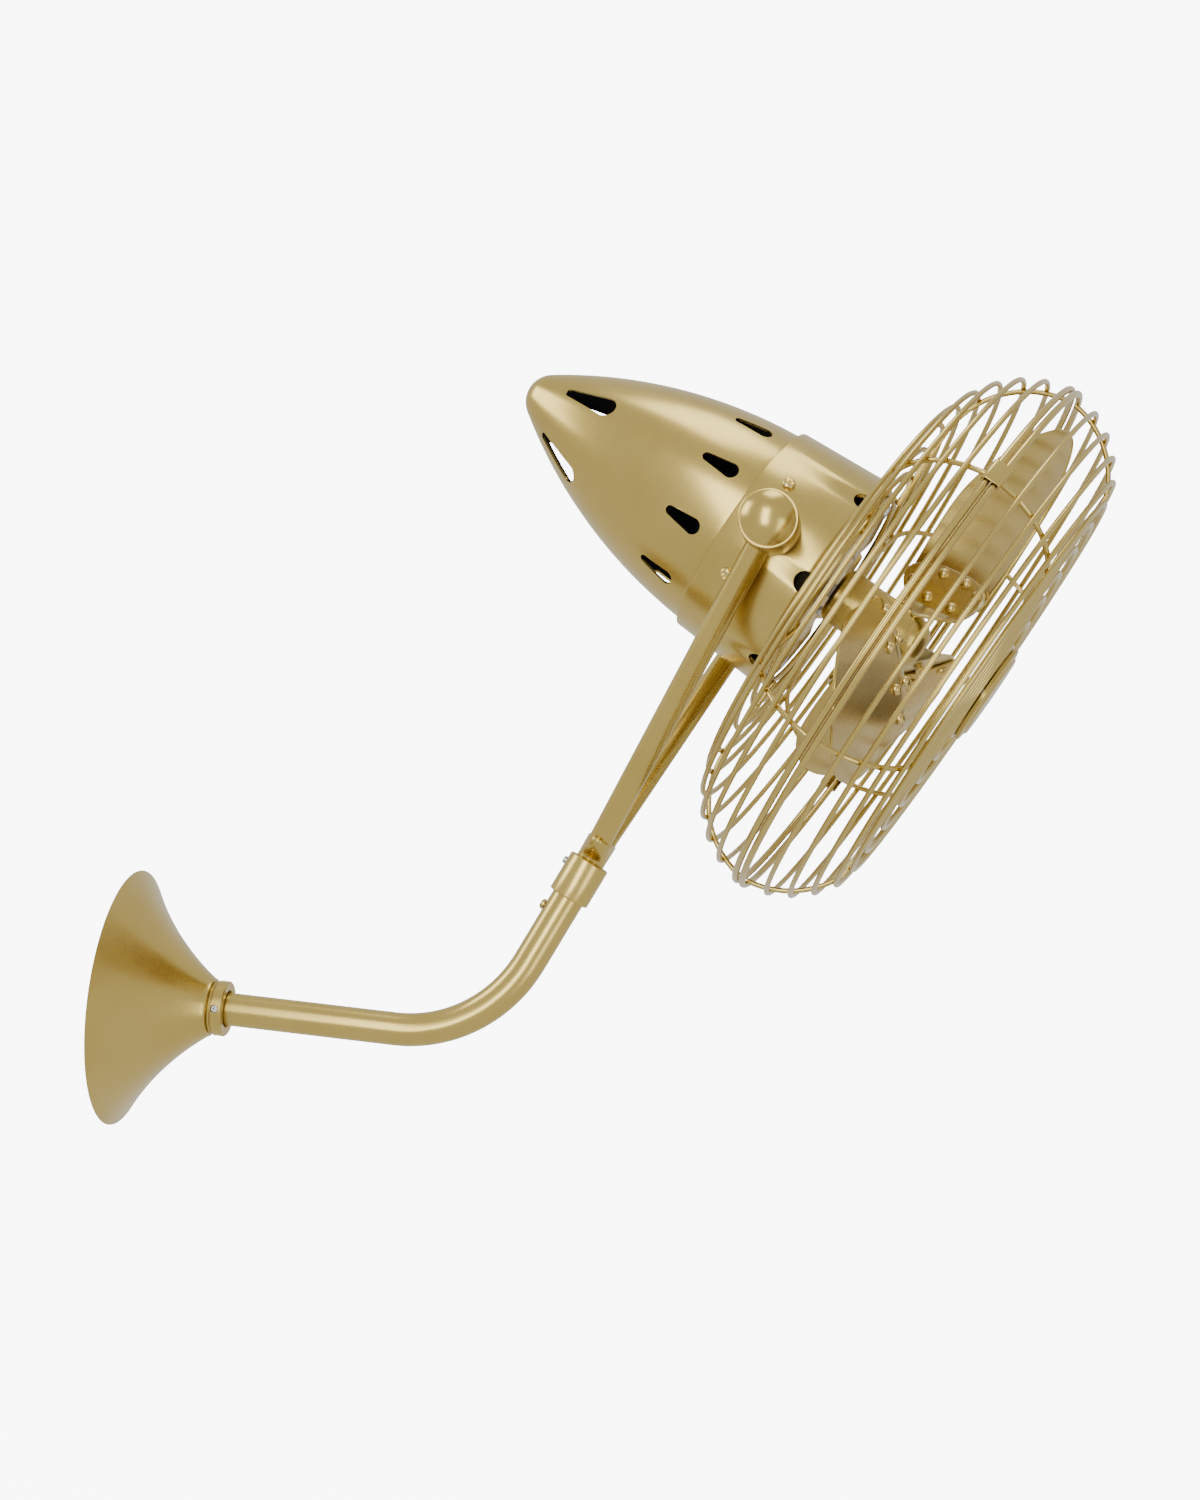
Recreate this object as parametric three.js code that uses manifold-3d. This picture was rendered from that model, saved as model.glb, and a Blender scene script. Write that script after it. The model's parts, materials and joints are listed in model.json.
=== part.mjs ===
// Wall mounted fan: a hollow arm carries a swivelling yoke, and the yoke carries a tilting head with a
// bullet shaped motor housing, a three-bladed rotor and a wire guard.
// Millimetres and degrees, +Z up, +X out of the wall. The origin is the middle of the wall face.

import * as THREE from 'three';
import { mergeVertices } from 'three/addons/utils/BufferGeometryUtils.js';
import Module from 'manifold-3d';

const wasm = await Module();
wasm.setup();

// ---------------------------------------------------------------- driving dimensions

const CLEARANCE = 0.3; // between two pieces that touch
const FINE = 24; // facets round a large turned piece
const MEDIUM = 16; // facets round a tube or a knuckle
const COARSE = 6; // facets round a screw
const PLAIN = 12; // facets round a thin tube or a hidden turned piece
const HOLE = 8; // facets round a screw hole

// wall fitting
const PLATE_RADIUS = 58;
const PLATE_THICKNESS = 3;
const PLATE_HOLE_SPACING = 89; // screws into a round wall box
const PLATE_HOLE_RADIUS = 2.6;
const WIRE_HOLE_RADIUS = 8;
const WIRE_HOLE_HEIGHT = 38;
const FLANGE_RADIUS = 27;
const FLANGE_THICKNESS = 5;
const FLANGE_BOSS_RADIUS = 16;
const FLANGE_BOSS_LENGTH = 22;
const FLANGE_SCREW_CIRCLE = 21.5;
const FLANGE_SCREWS = 3;
const FLANGE_SCREW_RADIUS = 2;
const FLANGE_HEAD_RADIUS = 3.6;
const FLANGE_HEAD_HEIGHT = 2.4;

// canopy that covers the wall fitting, and the ring that holds it
const CANOPY_RIM_RADIUS = 82.5;
const CANOPY_NECK_RADIUS = 19;
const CANOPY_DEPTH = 56;
const CANOPY_WALL = 1.2;
const CANOPY_BELL_DEPTH = 22; // how deep the wide part of the bell is
const CANOPY_BELL_RADIUS = 43; // where the bell turns into the neck
const CANOPY_STEPS = 5;
const CANOPY_LIP = 1.4; // thickness of the neck's turned-in lip
const RING_RADIUS = 17.8;
const RING_LENGTH = 9.6;
const RING_BEVEL = 1.2;
const RING_SCREW_RADIUS = 2.3;
const RING_SCREW_LENGTH = 6;

// arm
const TUBE_RADIUS = 10.65;
const TUBE_BORE_RADIUS = 7.9;
const ARM_REACH = 234.6; // wall to the corner where the two straight runs would meet
const ARM_RISE = 65; // angle of the upper run above horizontal
const ARM_BEND_RADIUS = 90;
const ARM_BEND_STEPS = 6;
const ARM_SECTION_STEPS = 8; // on each half of the tube's circle
const WIRE_SLOT_LENGTH = 14;
const WIRE_SLOT_GAP = 6; // flange boss to the slot's first round end
const WIRE_SLOT_RADIUS = 4;

// coupling collar on the upper end of the arm
const COLLAR_CENTRE = 118.3; // from the corner, along the upper run
const COLLAR_RADIUS = 13.4;
const COLLAR_LENGTH = 27;
const COLLAR_CHAMFER = 0.7;
const COLLAR_TUBE_DEPTH = 10;
const COLLAR_STEM_DEPTH = 12;
const COLLAR_SPIGOT_LENGTH = 24;
const COLLAR_WIRE_RADIUS = 5;
const COLLAR_SCREW_HEIGHT = 6.3; // above the collar's middle
const COLLAR_SCREW_RADIUS = 2.4;
const COLLAR_SCREW_PROUD = 1.4; // how far it would stand out of the collar if it touched the stem
const LOCK_SCREW_DROP = 11.4; // below the collar's lower face
const LOCK_SCREW_RADIUS = 1.9;
const LOCK_SCREW_LENGTH = 8;
const LOCK_HEAD_RADIUS = 3.4;
const LOCK_HEAD_HEIGHT = 2.8;

// yoke
const YOKE_LENGTH = 365; // from the arm's corner to the tilt axis
const STEM_RADIUS = 9.5;
const STEM_WIRE_RADIUS = 5;
const NECK_LENGTH = 17; // straight neck and flare above the collar
const NECK_HALF_WIDTH = 21.5;
const NECK_SOCKET_DEPTH = 7;
const NECK_FLARE = [[0.3, 0.62], [0.5, 0.86], [0.7, 0.97]]; // share of the height, share of the width
const NECK_STRAIGHT = 0.12; // share of the height before the flare
const NECK_CHAMFER = 1;
const YOKE_TUBE_RADIUS = 7.6;
const YOKE_TUBE_BORE_RADIUS = 6.1;
const YOKE_FOOT_HALF_SPAN = 9; // fan axis to a tube's foot
const YOKE_FOOT_RISE = 12.2; // collar's upper face to the tubes' feet
const KNUCKLE_RADIUS = 18;
const KNUCKLE_LENGTH = 32;
const KNUCKLE_BEVEL = 1;
const KNUCKLE_RECESS_RADIUS = 13;
const KNUCKLE_RECESS_DEPTH = 11;
const TUBE_SEAT = 7; // how far a tube enters its knuckle
const CAP_HEIGHT = 9;
const CAP_RIM = 1.2; // height of the straight rim below the dome
const CAP_PLUG_DEPTH = 2.5;
const CAP_DOME_STEPS = 3;
const PIVOT_RADIUS = 4;
const PIVOT_HEAD_RADIUS = 8;
const PIVOT_HEAD_HEIGHT = 5;
const PIVOT_THREAD_DEPTH = 9; // how far the bolt enters the motor
const WASHER_RADIUS = 11;
const WASHER_THICKNESS = 1.5;
const SPACER_RADIUS = 13;
const SPACER_LENGTH = 6.3; // housing's side to the knuckle
const SPACER_ROOT = 12; // how far its blank reaches into the housing before it is cut to fit

// head
const HEAD_TILT = 28.66; // fan axis below horizontal at rest
const HEAD_DROP = 4.4; // fan axis below the tilt axis
const LIP_SETBACK = 26.5; // tilt axis back to the housing's joint
const REAR_RADIUS = 69; // rear shell at the joint
const REAR_ARC_RADIUS = 323;
const REAR_ARC_START = 4; // slope of the shell at the joint
const NOSE_RADIUS = 17.5;
const SHELL_WALL = 1.6;
const REAR_ARC_STEPS = 5;
const NOSE_STEPS = 3;
const REAR_RIM_LENGTH = 19; // part of the rear shell inside the front shell
const FRONT_WALL = 3.1;
const FRONT_FLARE = 2.8; // the front shell widens forward
const FRONT_FACE = 41; // tilt axis forward to the front face
const FRONT_CORNER = 8; // rounding between side and face
const FRONT_LIP_CHAMFER = 1.2;
const FRONT_BORE_RADIUS = 14;
const NOSE_SLOTS = 5;
const NOSE_SLOT = { rear: -165, front: -129, narrow: 2.8, wide: 6.8, start: 0, arcSteps: 2 };
const MID_SLOTS = 10;
const MID_SLOT = { rear: -63.5, front: -38, narrow: 3, wide: 5.3, start: 0, arcSteps: 1 };
const FRONT_SLOTS = 7;
const FRONT_SLOT_START = 99;
const FRONT_SLOT_HALF_WIDTH = 7;
const FRONT_SLOT_REAR = 24;
const FRONT_SLOT_INNER_RADIUS = 45;
const SLOT_OVERRUN = 5; // how far a slot's cutter runs past the shell
const SHELL_SCREW_OFFSET = 27; // degrees each side of the knuckles
const SHELL_SCREW_SETBACK = 8.4;
const SHELL_SCREW_RADIUS = 1.6;
const SHELL_SCREW_LENGTH = 7;
const SHELL_HEAD_RADIUS = 3.6;
const SHELL_HEAD_HEIGHT = 2.8;

// motor inside the housing
const MOTOR_RADIUS = 54;
const MOTOR_REAR = -44;
const MOTOR_SHOULDER = 10;
const MOTOR_SCREWS = 3;
const MOTOR_SCREW_CIRCLE = 26;
const MOTOR_SCREW_START = 60; // degrees
const MOTOR_SCREW_RADIUS = 1.8;
const MOTOR_SCREW_LENGTH = 10;
const MOTOR_HEAD_RADIUS = 3.4;
const MOTOR_HEAD_HEIGHT = 2.2;
const BEARING_RADIUS = 11;
const BEARING_LENGTH = 9;
const SHAFT_RADIUS = 5;
const SHAFT_TAIL = 6; // how far the shaft stands out behind the rear bearing
const SHAFT_CHAMFER = 0.8;
const CAN_BORE_GAP = 2; // motor's hollow round the shaft

// rotor
const BARREL_RADIUS = 18;
const BARREL_REAR = 46;
const BARREL_FRONT = 66;
const HUB_RADIUS = 13.5;
const HUB_FRONT = 100;
const HUB_NOSE = 11; // length of the rounded end
const HUB_NOSE_STEPS = 3;
const HUB_FLOOR = 8; // solid metal between the shaft's end and the rounded end
const HUB_SCREW_RADIUS = 2.5;
const HUB_SCREW_LENGTH = 9;
const BARREL_BEVEL = 1.5;
const BLADES = 3;
const BLADE_TIP_RADIUS = 165;
const BLADE_ROOT_RADIUS = 36;
const BLADE_WIDTH = 104;
const BLADE_ROOT_WIDTH = 84;
const BLADE_THICKNESS = 1.5;
const BLADE_ROOT_ANGLE = 40; // degrees from the plane of rotation
const BLADE_TIP_ANGLE = 29;
const BLADE_BELLY_GROWTH = 1.6; // the blade is at its widest at the inverse share of its length
const BLADE_TIP_START = 0.62; // share of the length where the tip's rounding starts
const BLADE_TIP_POWER = 2.4; // how square the tip is
const BLADE_TIP_SHARE = 0.02; // least square of the width's share, so that the tip stays a real edge
const BLADE_ROW_POWER = 0.85; // rows of the sheet lie closer together towards the tip
const BLADE_STEPS = [6, 8]; // across and along
const BLADE_CAMBER = 7;
const BLADE_CENTRE = 103; // axial place of the blades' middle
const IRON_THICKNESS = 2.4;
const IRON_ROOT_WIDTH = 30;
const IRON_WIDTH = 92;
const IRON_TIP_RADIUS = 56;
const IRON_SPREAD_POWER = 1.5; // how late the iron widens
const IRON_STEPS = [6, 4]; // across and along
const IRON_GAP = 1.5; // share of the clearance to the blade, because both are faceted
const IRON_PAD_LENGTH = 34;
const IRON_PAD_RADIUS = 19;
const IRON_PAD_WIDTH = 21;
const IRON_SCREW_RADIUS = 2;
const IRON_SCREW_DEPTH = 4; // into the hub
const IRON_HEAD_RADIUS = 4;
const IRON_HEAD_HEIGHT = 2.6;

// guard: its profile is a round shoulder that runs into a shallow cone
const SEAM = 100.7; // tilt axis forward to the guard's seam
const WIRE_RADIUS = 1.75;
const SEAM_WIRE_RADIUS = 2.2;
const SHOULDER_RADIUS = 63.6;
const SHOULDER_CENTRE_RADIUS = 121.3;
const SHOULDER_CENTRE_SETBACK = 5.5;
const FIRST_RING_ANGLE = 21.7;
const RING_ANGLE_STEP = 13.3;
const SHOULDER_RINGS = 6;
const FACE_RING_STEP = 18;
const FRONT_FACE_RINGS = 5;
const REAR_FACE_RINGS = 3;
const FRONT_FACE_HEIGHT = 53.5; // seam to the front's flat, which cuts the shoulder off
const FRONT_FACE_RISE = 2.5; // how much the front cone rises to the badge
const RIBS = 6;
const GUARD_RIB_START = 0;
const GUARD_RING_FACETS = 18; // round a ring wider than the shoulder's centre
const INNER_RING_FACETS = 12; // round a narrower ring
const GUARD_WIRE_FACETS = 4;
const WELD_DEPTH = 0.5; // how far crossing wires are pressed together
const WIRE_SQUARING = 1.18; // a four-sided wire's corners stand out past its round radius
const CLIP_LENGTH = 16;
const CLIP_WALL = 1.3;
const CLIP_DEPTH = 5.4;
const CLIP_ANGLES = [60, 240];
const BADGE_RADIUS = 33.5;
const BADGE_THICKNESS = 4.6;
const BADGE_STEP = 1.4;
const BADGE_RIM = 4; // width of the badge's lower rim
const BADGE_SLOPE = 2;
const BADGE_SCREW_RADIUS = 2;
const BADGE_SCREW_DEPTH = 3;
const BADGE_HEAD_RADIUS = 4.2;
const BADGE_HEAD_HEIGHT = 2.6;
const BACK_PLATE_RADIUS = 31;
const BACK_PLATE_THICKNESS = 1.6;
const GUARD_SCREWS = 3;
const GUARD_SCREW_START = 30; // degrees from the top
const GUARD_SCREW_HEAD_RADIUS = 5.4;
const GUARD_SCREW_RADIUS = 2;
const GUARD_SCREW_HEAD_HEIGHT = 2.4;
const GUARD_SCREW_GAP = 1.2; // shank to the ring that its head holds

// ---------------------------------------------------------------- materials

const brass = () => new THREE.MeshStandardMaterial({ color: 0xae9b63, roughness: 0.32, metalness: 1 });
const paleBrass = () => new THREE.MeshStandardMaterial({ color: 0xc8b680, roughness: 0.25, metalness: 1 });
const steel = () => new THREE.MeshStandardMaterial({ color: 0x9a9a9c, roughness: 0.35, metalness: 1 });
const blackPaint = () => new THREE.MeshStandardMaterial({ color: 0x101013, roughness: 0.6, metalness: 0 });

// ---------------------------------------------------------------- solids

const rad = THREE.MathUtils.degToRad;

/** Signed volume of an indexed geometry, negative when its faces point inwards. */
function signedVolume(geometry) {
  const position = geometry.attributes.position;
  const index = geometry.index.array;
  const [a, b, c] = [new THREE.Vector3(), new THREE.Vector3(), new THREE.Vector3()];
  let volume = 0;
  for (let i = 0; i < index.length; i += 3) {
    a.fromBufferAttribute(position, index[i]);
    b.fromBufferAttribute(position, index[i + 1]);
    c.fromBufferAttribute(position, index[i + 2]);
    volume += a.dot(b.cross(c)) / 6;
  }
  return volume;
}

/** Merges shared vertices, drops collapsed triangles and turns the faces outwards. */
function clean(geometry) {
  const bare = new THREE.BufferGeometry();
  bare.setAttribute('position', geometry.attributes.position.clone());
  if (geometry.index) bare.setIndex(geometry.index.clone());
  const merged = mergeVertices(bare, 1e-4);
  const kept = [];
  const index = merged.index.array;
  for (let i = 0; i < index.length; i += 3) {
    const [a, b, c] = [index[i], index[i + 1], index[i + 2]];
    if (a !== b && b !== c && c !== a) kept.push(a, b, c);
  }
  merged.setIndex(kept);
  if (signedVolume(merged) < 0) {
    for (let i = 0; i < kept.length; i += 3) [kept[i], kept[i + 1]] = [kept[i + 1], kept[i]];
    merged.setIndex(kept);
  }
  return merged;
}

/** A closed geometry as a solid that can be joined and cut. */
function solid(geometry) {
  const closed = clean(geometry);
  const mesh = new wasm.Mesh({
    numProp: 3,
    vertProperties: new Float32Array(closed.attributes.position.array),
    triVerts: new Uint32Array(closed.index.array),
  });
  return new wasm.Manifold(mesh);
}

/** The solid as a geometry again. */
function geometryOf(manifold) {
  const mesh = manifold.getMesh();
  const geometry = new THREE.BufferGeometry();
  geometry.setAttribute('position', new THREE.BufferAttribute(mesh.vertProperties, 3));
  geometry.setIndex(new THREE.BufferAttribute(mesh.triVerts, 1));
  geometry.computeVertexNormals();
  return geometry;
}

const joined = (pieces) => pieces.reduce((sum, piece) => sum.add(piece));
const cut = (body, tools) => tools.reduce((rest, tool) => rest.subtract(tool), body);

/** Turns a closed profile of [radius, height] points round +Z. */
function turned(profile, facets) {
  const points = profile.map(([radius, height]) => new THREE.Vector2(Math.max(radius, 0), height));
  return new THREE.LatheGeometry(points, facets).rotateX(Math.PI / 2);
}

/** A cylinder along +Z from one height to another. */
function rod(radius, from, to, facets = COARSE) {
  return turned([[0, from], [radius, from], [radius, to], [0, to]], facets);
}

/** A pipe along +Z from one height to another. */
function pipe(outer, inner, from, to, facets = MEDIUM) {
  return turned([[inner, from], [outer, from], [outer, to], [inner, to], [inner, from]], facets);
}

/** A screw along +Z whose rounded head stands on height 0 and whose shank goes down. */
function screw(shankRadius, shankLength, headRadius, headHeight) {
  return turned([
    [0, -shankLength],
    [shankRadius, -shankLength],
    [shankRadius, 0],
    [headRadius, 0],
    [headRadius * 0.8, headHeight],
    [0, headHeight],
  ], COARSE);
}

/** The matrix that takes +Z to a direction and the origin to a point. */
function placing(point, direction) {
  const turn = new THREE.Quaternion();
  turn.setFromUnitVectors(new THREE.Vector3(0, 0, 1), direction.clone().normalize());
  return new THREE.Matrix4().compose(point, turn, new THREE.Vector3(1, 1, 1));
}

/** A solid between rings of points, closed by a flat cap at each end. */
function loft(rings) {
  const count = rings[0].length;
  const vertices = rings.flat();
  const index = [];
  for (let ring = 0; ring < rings.length - 1; ring += 1) {
    for (let i = 0; i < count; i += 1) {
      const a = ring * count + i;
      const b = ring * count + ((i + 1) % count);
      index.push(a, b, a + count, b, b + count, a + count);
    }
  }
  const last = (rings.length - 1) * count;
  for (let i = 1; i < count - 1; i += 1) {
    index.push(0, i + 1, i, last, last + i, last + i + 1);
  }
  const geometry = new THREE.BufferGeometry().setFromPoints(vertices);
  geometry.setIndex(index);
  return geometry;
}

/** A sheet of even thickness over a grid of points: surface(u, v) gives a point for u and v in 0..1. */
function sheet(surface, across, along, thickness) {
  const nudge = 1e-3;
  const normalAt = (u, v) => {
    const du = surface(Math.min(u + nudge, 1), v).sub(surface(Math.max(u - nudge, 0), v));
    const dv = surface(u, Math.min(v + nudge, 1)).sub(surface(u, Math.max(v - nudge, 0)));
    return du.cross(dv).normalize();
  };
  const sides = [-thickness / 2, thickness / 2].map((offset) => {
    const points = [];
    for (let i = 0; i <= along; i += 1) {
      for (let j = 0; j <= across; j += 1) {
        const [u, v] = [i / along, j / across];
        points.push(surface(u, v).addScaledVector(normalAt(u, v), offset));
      }
    }
    return points;
  });
  const row = across + 1;
  const side = row * (along + 1);
  const index = [];
  for (let i = 0; i < along; i += 1) {
    for (let j = 0; j < across; j += 1) {
      const a = i * row + j;
      index.push(a, a + 1, a + row, a + 1, a + row + 1, a + row);
      index.push(side + a, side + a + row, side + a + 1, side + a + 1, side + a + row, side + a + row + 1);
    }
  }
  const edge = [];
  for (let j = 0; j < across; j += 1) edge.push(j);
  for (let i = 0; i < along; i += 1) edge.push(i * row + across);
  for (let j = across; j > 0; j -= 1) edge.push(along * row + j);
  for (let i = along; i > 0; i -= 1) edge.push(i * row);
  edge.forEach((a, i) => {
    const b = edge[(i + 1) % edge.length];
    index.push(a, side + a, b, b, side + a, side + b);
  });
  const geometry = new THREE.BufferGeometry().setFromPoints(sides.flat());
  geometry.setIndex(index);
  return geometry;
}

const isSolid = (shape) => shape instanceof wasm.Manifold;

/** A named mesh of a geometry or a solid. */
function piece(name, shape, material) {
  const geometry = isSolid(shape) ? geometryOf(shape) : clean(shape);
  const mesh = new THREE.Mesh(geometry, material);
  mesh.name = name;
  return mesh;
}

const evenAngles = (count, start = 0) => Array.from({ length: count }, (_, i) => start + (360 * i) / count);

/** Copies of one piece turned round +Z, each with its own numbered name. */
function ringOf(name, angles, shape, material) {
  return angles.map((angle, i) => {
    const mesh = piece(`${name}_${i + 1}`, shape, material());
    mesh.rotation.z = rad(angle);
    return mesh;
  });
}

// ---------------------------------------------------------------- places worked out from the sizes

const tubeHole = TUBE_RADIUS + CLEARANCE;
const armDirection = new THREE.Vector3(Math.cos(rad(ARM_RISE)), 0, Math.sin(rad(ARM_RISE)));
const corner = new THREE.Vector3(ARM_REACH, 0, 0);
const collarBase = COLLAR_CENTRE - COLLAR_LENGTH / 2;
const collarTop = COLLAR_CENTRE + COLLAR_LENGTH / 2;
const flangeBack = PLATE_THICKNESS + CLEARANCE;
const armStart = flangeBack + FLANGE_THICKNESS;
const armEnd = collarBase + COLLAR_TUBE_DEPTH - CLEARANCE;
const pivot = corner.clone().addScaledVector(armDirection, YOKE_LENGTH);
const lip = -LIP_SETBACK;
const frontRadiusAt = (z) => REAR_RADIUS + CLEARANCE + FRONT_WALL + (z - lip) * Math.tan(rad(FRONT_FLARE));
const knuckleInner = frontRadiusAt(0) + SPACER_LENGTH;
const knuckleMiddle = knuckleInner + KNUCKLE_LENGTH / 2;
const knuckleOuter = knuckleInner + KNUCKLE_LENGTH;
/** Angles round the fan axis are counted from the top, which is -X in the head's own frame. */
const fromTop = (angle) => angle + 180;

// ---------------------------------------------------------------- wall fitting and canopy

function wallPlate() {
  const disc = solid(rod(PLATE_RADIUS, 0, PLATE_THICKNESS, MEDIUM));
  const through = [-1, PLATE_THICKNESS + 1];
  const wireHole = solid(rod(WIRE_HOLE_RADIUS, ...through, MEDIUM).translate(-WIRE_HOLE_HEIGHT, 0, 0));
  const wallHoles = [-1, 1].map((side) => {
    const hole = rod(PLATE_HOLE_RADIUS, ...through, HOLE);
    return solid(hole.translate(0, (side * PLATE_HOLE_SPACING) / 2, 0));
  });
  const tapped = evenAngles(FLANGE_SCREWS).map((angle) => {
    const hole = rod(FLANGE_SCREW_RADIUS + CLEARANCE, ...through);
    return solid(hole.translate(FLANGE_SCREW_CIRCLE, 0, 0).rotateZ(rad(angle)));
  });
  return cut(disc, [wireHole, ...wallHoles, ...tapped]);
}

function armFlange() {
  const top = FLANGE_THICKNESS + FLANGE_BOSS_LENGTH;
  const body = solid(turned([
    [0, 0],
    [FLANGE_RADIUS, 0],
    [FLANGE_RADIUS, FLANGE_THICKNESS - 1],
    [FLANGE_RADIUS - 1, FLANGE_THICKNESS],
    [FLANGE_BOSS_RADIUS + 1, FLANGE_THICKNESS],
    [FLANGE_BOSS_RADIUS, FLANGE_THICKNESS + 1],
    [FLANGE_BOSS_RADIUS, top],
    [tubeHole, top],
    [tubeHole, FLANGE_THICKNESS - CLEARANCE],
    [0, FLANGE_THICKNESS - CLEARANCE],
  ], MEDIUM));
  const holes = evenAngles(FLANGE_SCREWS).map((angle) => {
    const hole = rod(FLANGE_SCREW_RADIUS + CLEARANCE, -1, FLANGE_THICKNESS + 1);
    return solid(hole.translate(FLANGE_SCREW_CIRCLE, 0, 0).rotateZ(rad(angle)));
  });
  return cut(body, holes);
}

function flangeScrew() {
  const length = FLANGE_THICKNESS + PLATE_THICKNESS;
  const fastener = screw(FLANGE_SCREW_RADIUS, length, FLANGE_HEAD_RADIUS, FLANGE_HEAD_HEIGHT);
  return fastener.translate(FLANGE_SCREW_CIRCLE, 0, CLEARANCE);
}

/** The bell's outer line from rim to neck, as [radius, depth] points. */
function canopyLine() {
  const curve = new THREE.QuadraticBezierCurve(
    new THREE.Vector2(CANOPY_RIM_RADIUS, 0),
    new THREE.Vector2(CANOPY_BELL_RADIUS, CANOPY_BELL_DEPTH),
    new THREE.Vector2(CANOPY_NECK_RADIUS, CANOPY_DEPTH),
  );
  return curve.getPoints(CANOPY_STEPS);
}

/** The same line moved inwards by the wall's thickness. */
function insideOf(points, wall) {
  return points.map((point, i) => {
    const ahead = points[Math.min(i + 1, points.length - 1)];
    const behind = points[Math.max(i - 1, 0)];
    const along = ahead.clone().sub(behind).normalize();
    return new THREE.Vector2(point.x - along.y * wall, point.y + along.x * wall);
  });
}

function wallCanopy() {
  const outer = canopyLine();
  const inner = insideOf(outer, CANOPY_WALL);
  inner[0].y = 0;
  const end = CANOPY_DEPTH + CANOPY_LIP;
  const lip = inner[inner.length - 1];
  return turned([
    ...outer.map((p) => [p.x, p.y]),
    [CANOPY_NECK_RADIUS - CANOPY_LIP / 2, end],
    [tubeHole, end],
    [tubeHole, CANOPY_DEPTH],
    [lip.x, CANOPY_DEPTH - CANOPY_WALL],
    ...inner.slice(0, -1).reverse().map((p) => [p.x, p.y]),
    [outer[0].x, outer[0].y],
  ], FINE);
}

const ringBack = CANOPY_DEPTH + CANOPY_LIP + CLEARANCE;

function canopyRing() {
  const body = solid(turned([
    [tubeHole, 0],
    [RING_RADIUS - RING_BEVEL, 0],
    [RING_RADIUS, RING_BEVEL],
    [RING_RADIUS, RING_LENGTH - RING_BEVEL],
    [RING_RADIUS - RING_BEVEL, RING_LENGTH],
    [tubeHole, RING_LENGTH],
    [tubeHole, 0],
  ], MEDIUM));
  const hole = rod(RING_SCREW_RADIUS + CLEARANCE, 0, RING_RADIUS + 1).rotateX(Math.PI / 2);
  return cut(body, [solid(hole.translate(0, 0, RING_LENGTH / 2))]);
}

/** A headless screw with a six-sided socket, from its tip at height 0. */
function grubScrew(radius, length) {
  const socket = rod(radius * 0.55, length - radius, length + 1, 6);
  return cut(solid(rod(radius, 0, length)), [solid(socket)]);
}

// ---------------------------------------------------------------- arm and collar

/** Straight run, bend and straight run; one step for each straight run and even steps round the bend. */
class ArmPath extends THREE.Curve {
  constructor() {
    super();
    this.steps = ARM_BEND_STEPS + 2;
    this.setback = ARM_BEND_RADIUS * Math.tan(rad(ARM_RISE) / 2);
    this.centre = new THREE.Vector3(ARM_REACH - this.setback, 0, ARM_BEND_RADIUS);
  }

  angleAt(step) {
    return (rad(ARM_RISE) * THREE.MathUtils.clamp(step - 1, 0, ARM_BEND_STEPS)) / ARM_BEND_STEPS;
  }

  getPoint(t) {
    const step = t * this.steps;
    const angle = this.angleAt(step);
    const onBend = new THREE.Vector3(Math.sin(angle), 0, -Math.cos(angle));
    const point = this.centre.clone().addScaledVector(onBend, ARM_BEND_RADIUS);
    if (step < 1) point.x = THREE.MathUtils.lerp(armStart, point.x, step);
    const past = Math.max(step - 1 - ARM_BEND_STEPS, 0);
    return point.addScaledVector(armDirection, past * (armEnd - this.setback));
  }

  getPointAt(u) {
    return this.getPoint(u);
  }

  getTangentAt(u) {
    const angle = this.angleAt(u * this.steps);
    return new THREE.Vector3(Math.cos(angle), 0, Math.sin(angle));
  }
}

function armTube() {
  const section = new THREE.Shape();
  section.absarc(0, 0, TUBE_RADIUS, 0, 2 * Math.PI);
  const bore = new THREE.Path();
  bore.absarc(0, 0, TUBE_BORE_RADIUS, 0, 2 * Math.PI);
  section.holes.push(bore);
  const path = new ArmPath();
  const tube = new THREE.ExtrudeGeometry(section, {
    steps: path.steps,
    extrudePath: path,
    curveSegments: ARM_SECTION_STEPS,
  });
  const slotStart = armStart + FLANGE_BOSS_LENGTH + WIRE_SLOT_GAP;
  const slot = rod(WIRE_SLOT_RADIUS, 0, TUBE_RADIUS + 1, COARSE);
  const second = slot.clone().translate(slotStart + WIRE_SLOT_LENGTH, 0, 0);
  const web = new THREE.BoxGeometry(WIRE_SLOT_LENGTH, 2 * WIRE_SLOT_RADIUS, TUBE_RADIUS + 1);
  web.translate(slotStart + WIRE_SLOT_LENGTH / 2, 0, (TUBE_RADIUS + 1) / 2);
  const lockHole = rod(LOCK_SCREW_RADIUS + CLEARANCE, 0, TUBE_RADIUS + 2);
  lockHole.applyMatrix4(lockScrewPlace(0));
  return cut(solid(tube), [
    solid(slot.translate(slotStart, 0, 0)),
    solid(second),
    solid(web),
    solid(lockHole),
  ]);
}

/** A place on the upper run's back, at a distance from its axis. */
function backOfArm(along, outward) {
  const back = new THREE.Vector3(-armDirection.z, 0, armDirection.x);
  const point = corner.clone().addScaledVector(armDirection, along).addScaledVector(back, outward);
  return placing(point, back);
}

function lockScrewPlace(outward) {
  return backOfArm(collarBase - LOCK_SCREW_DROP, outward);
}

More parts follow.
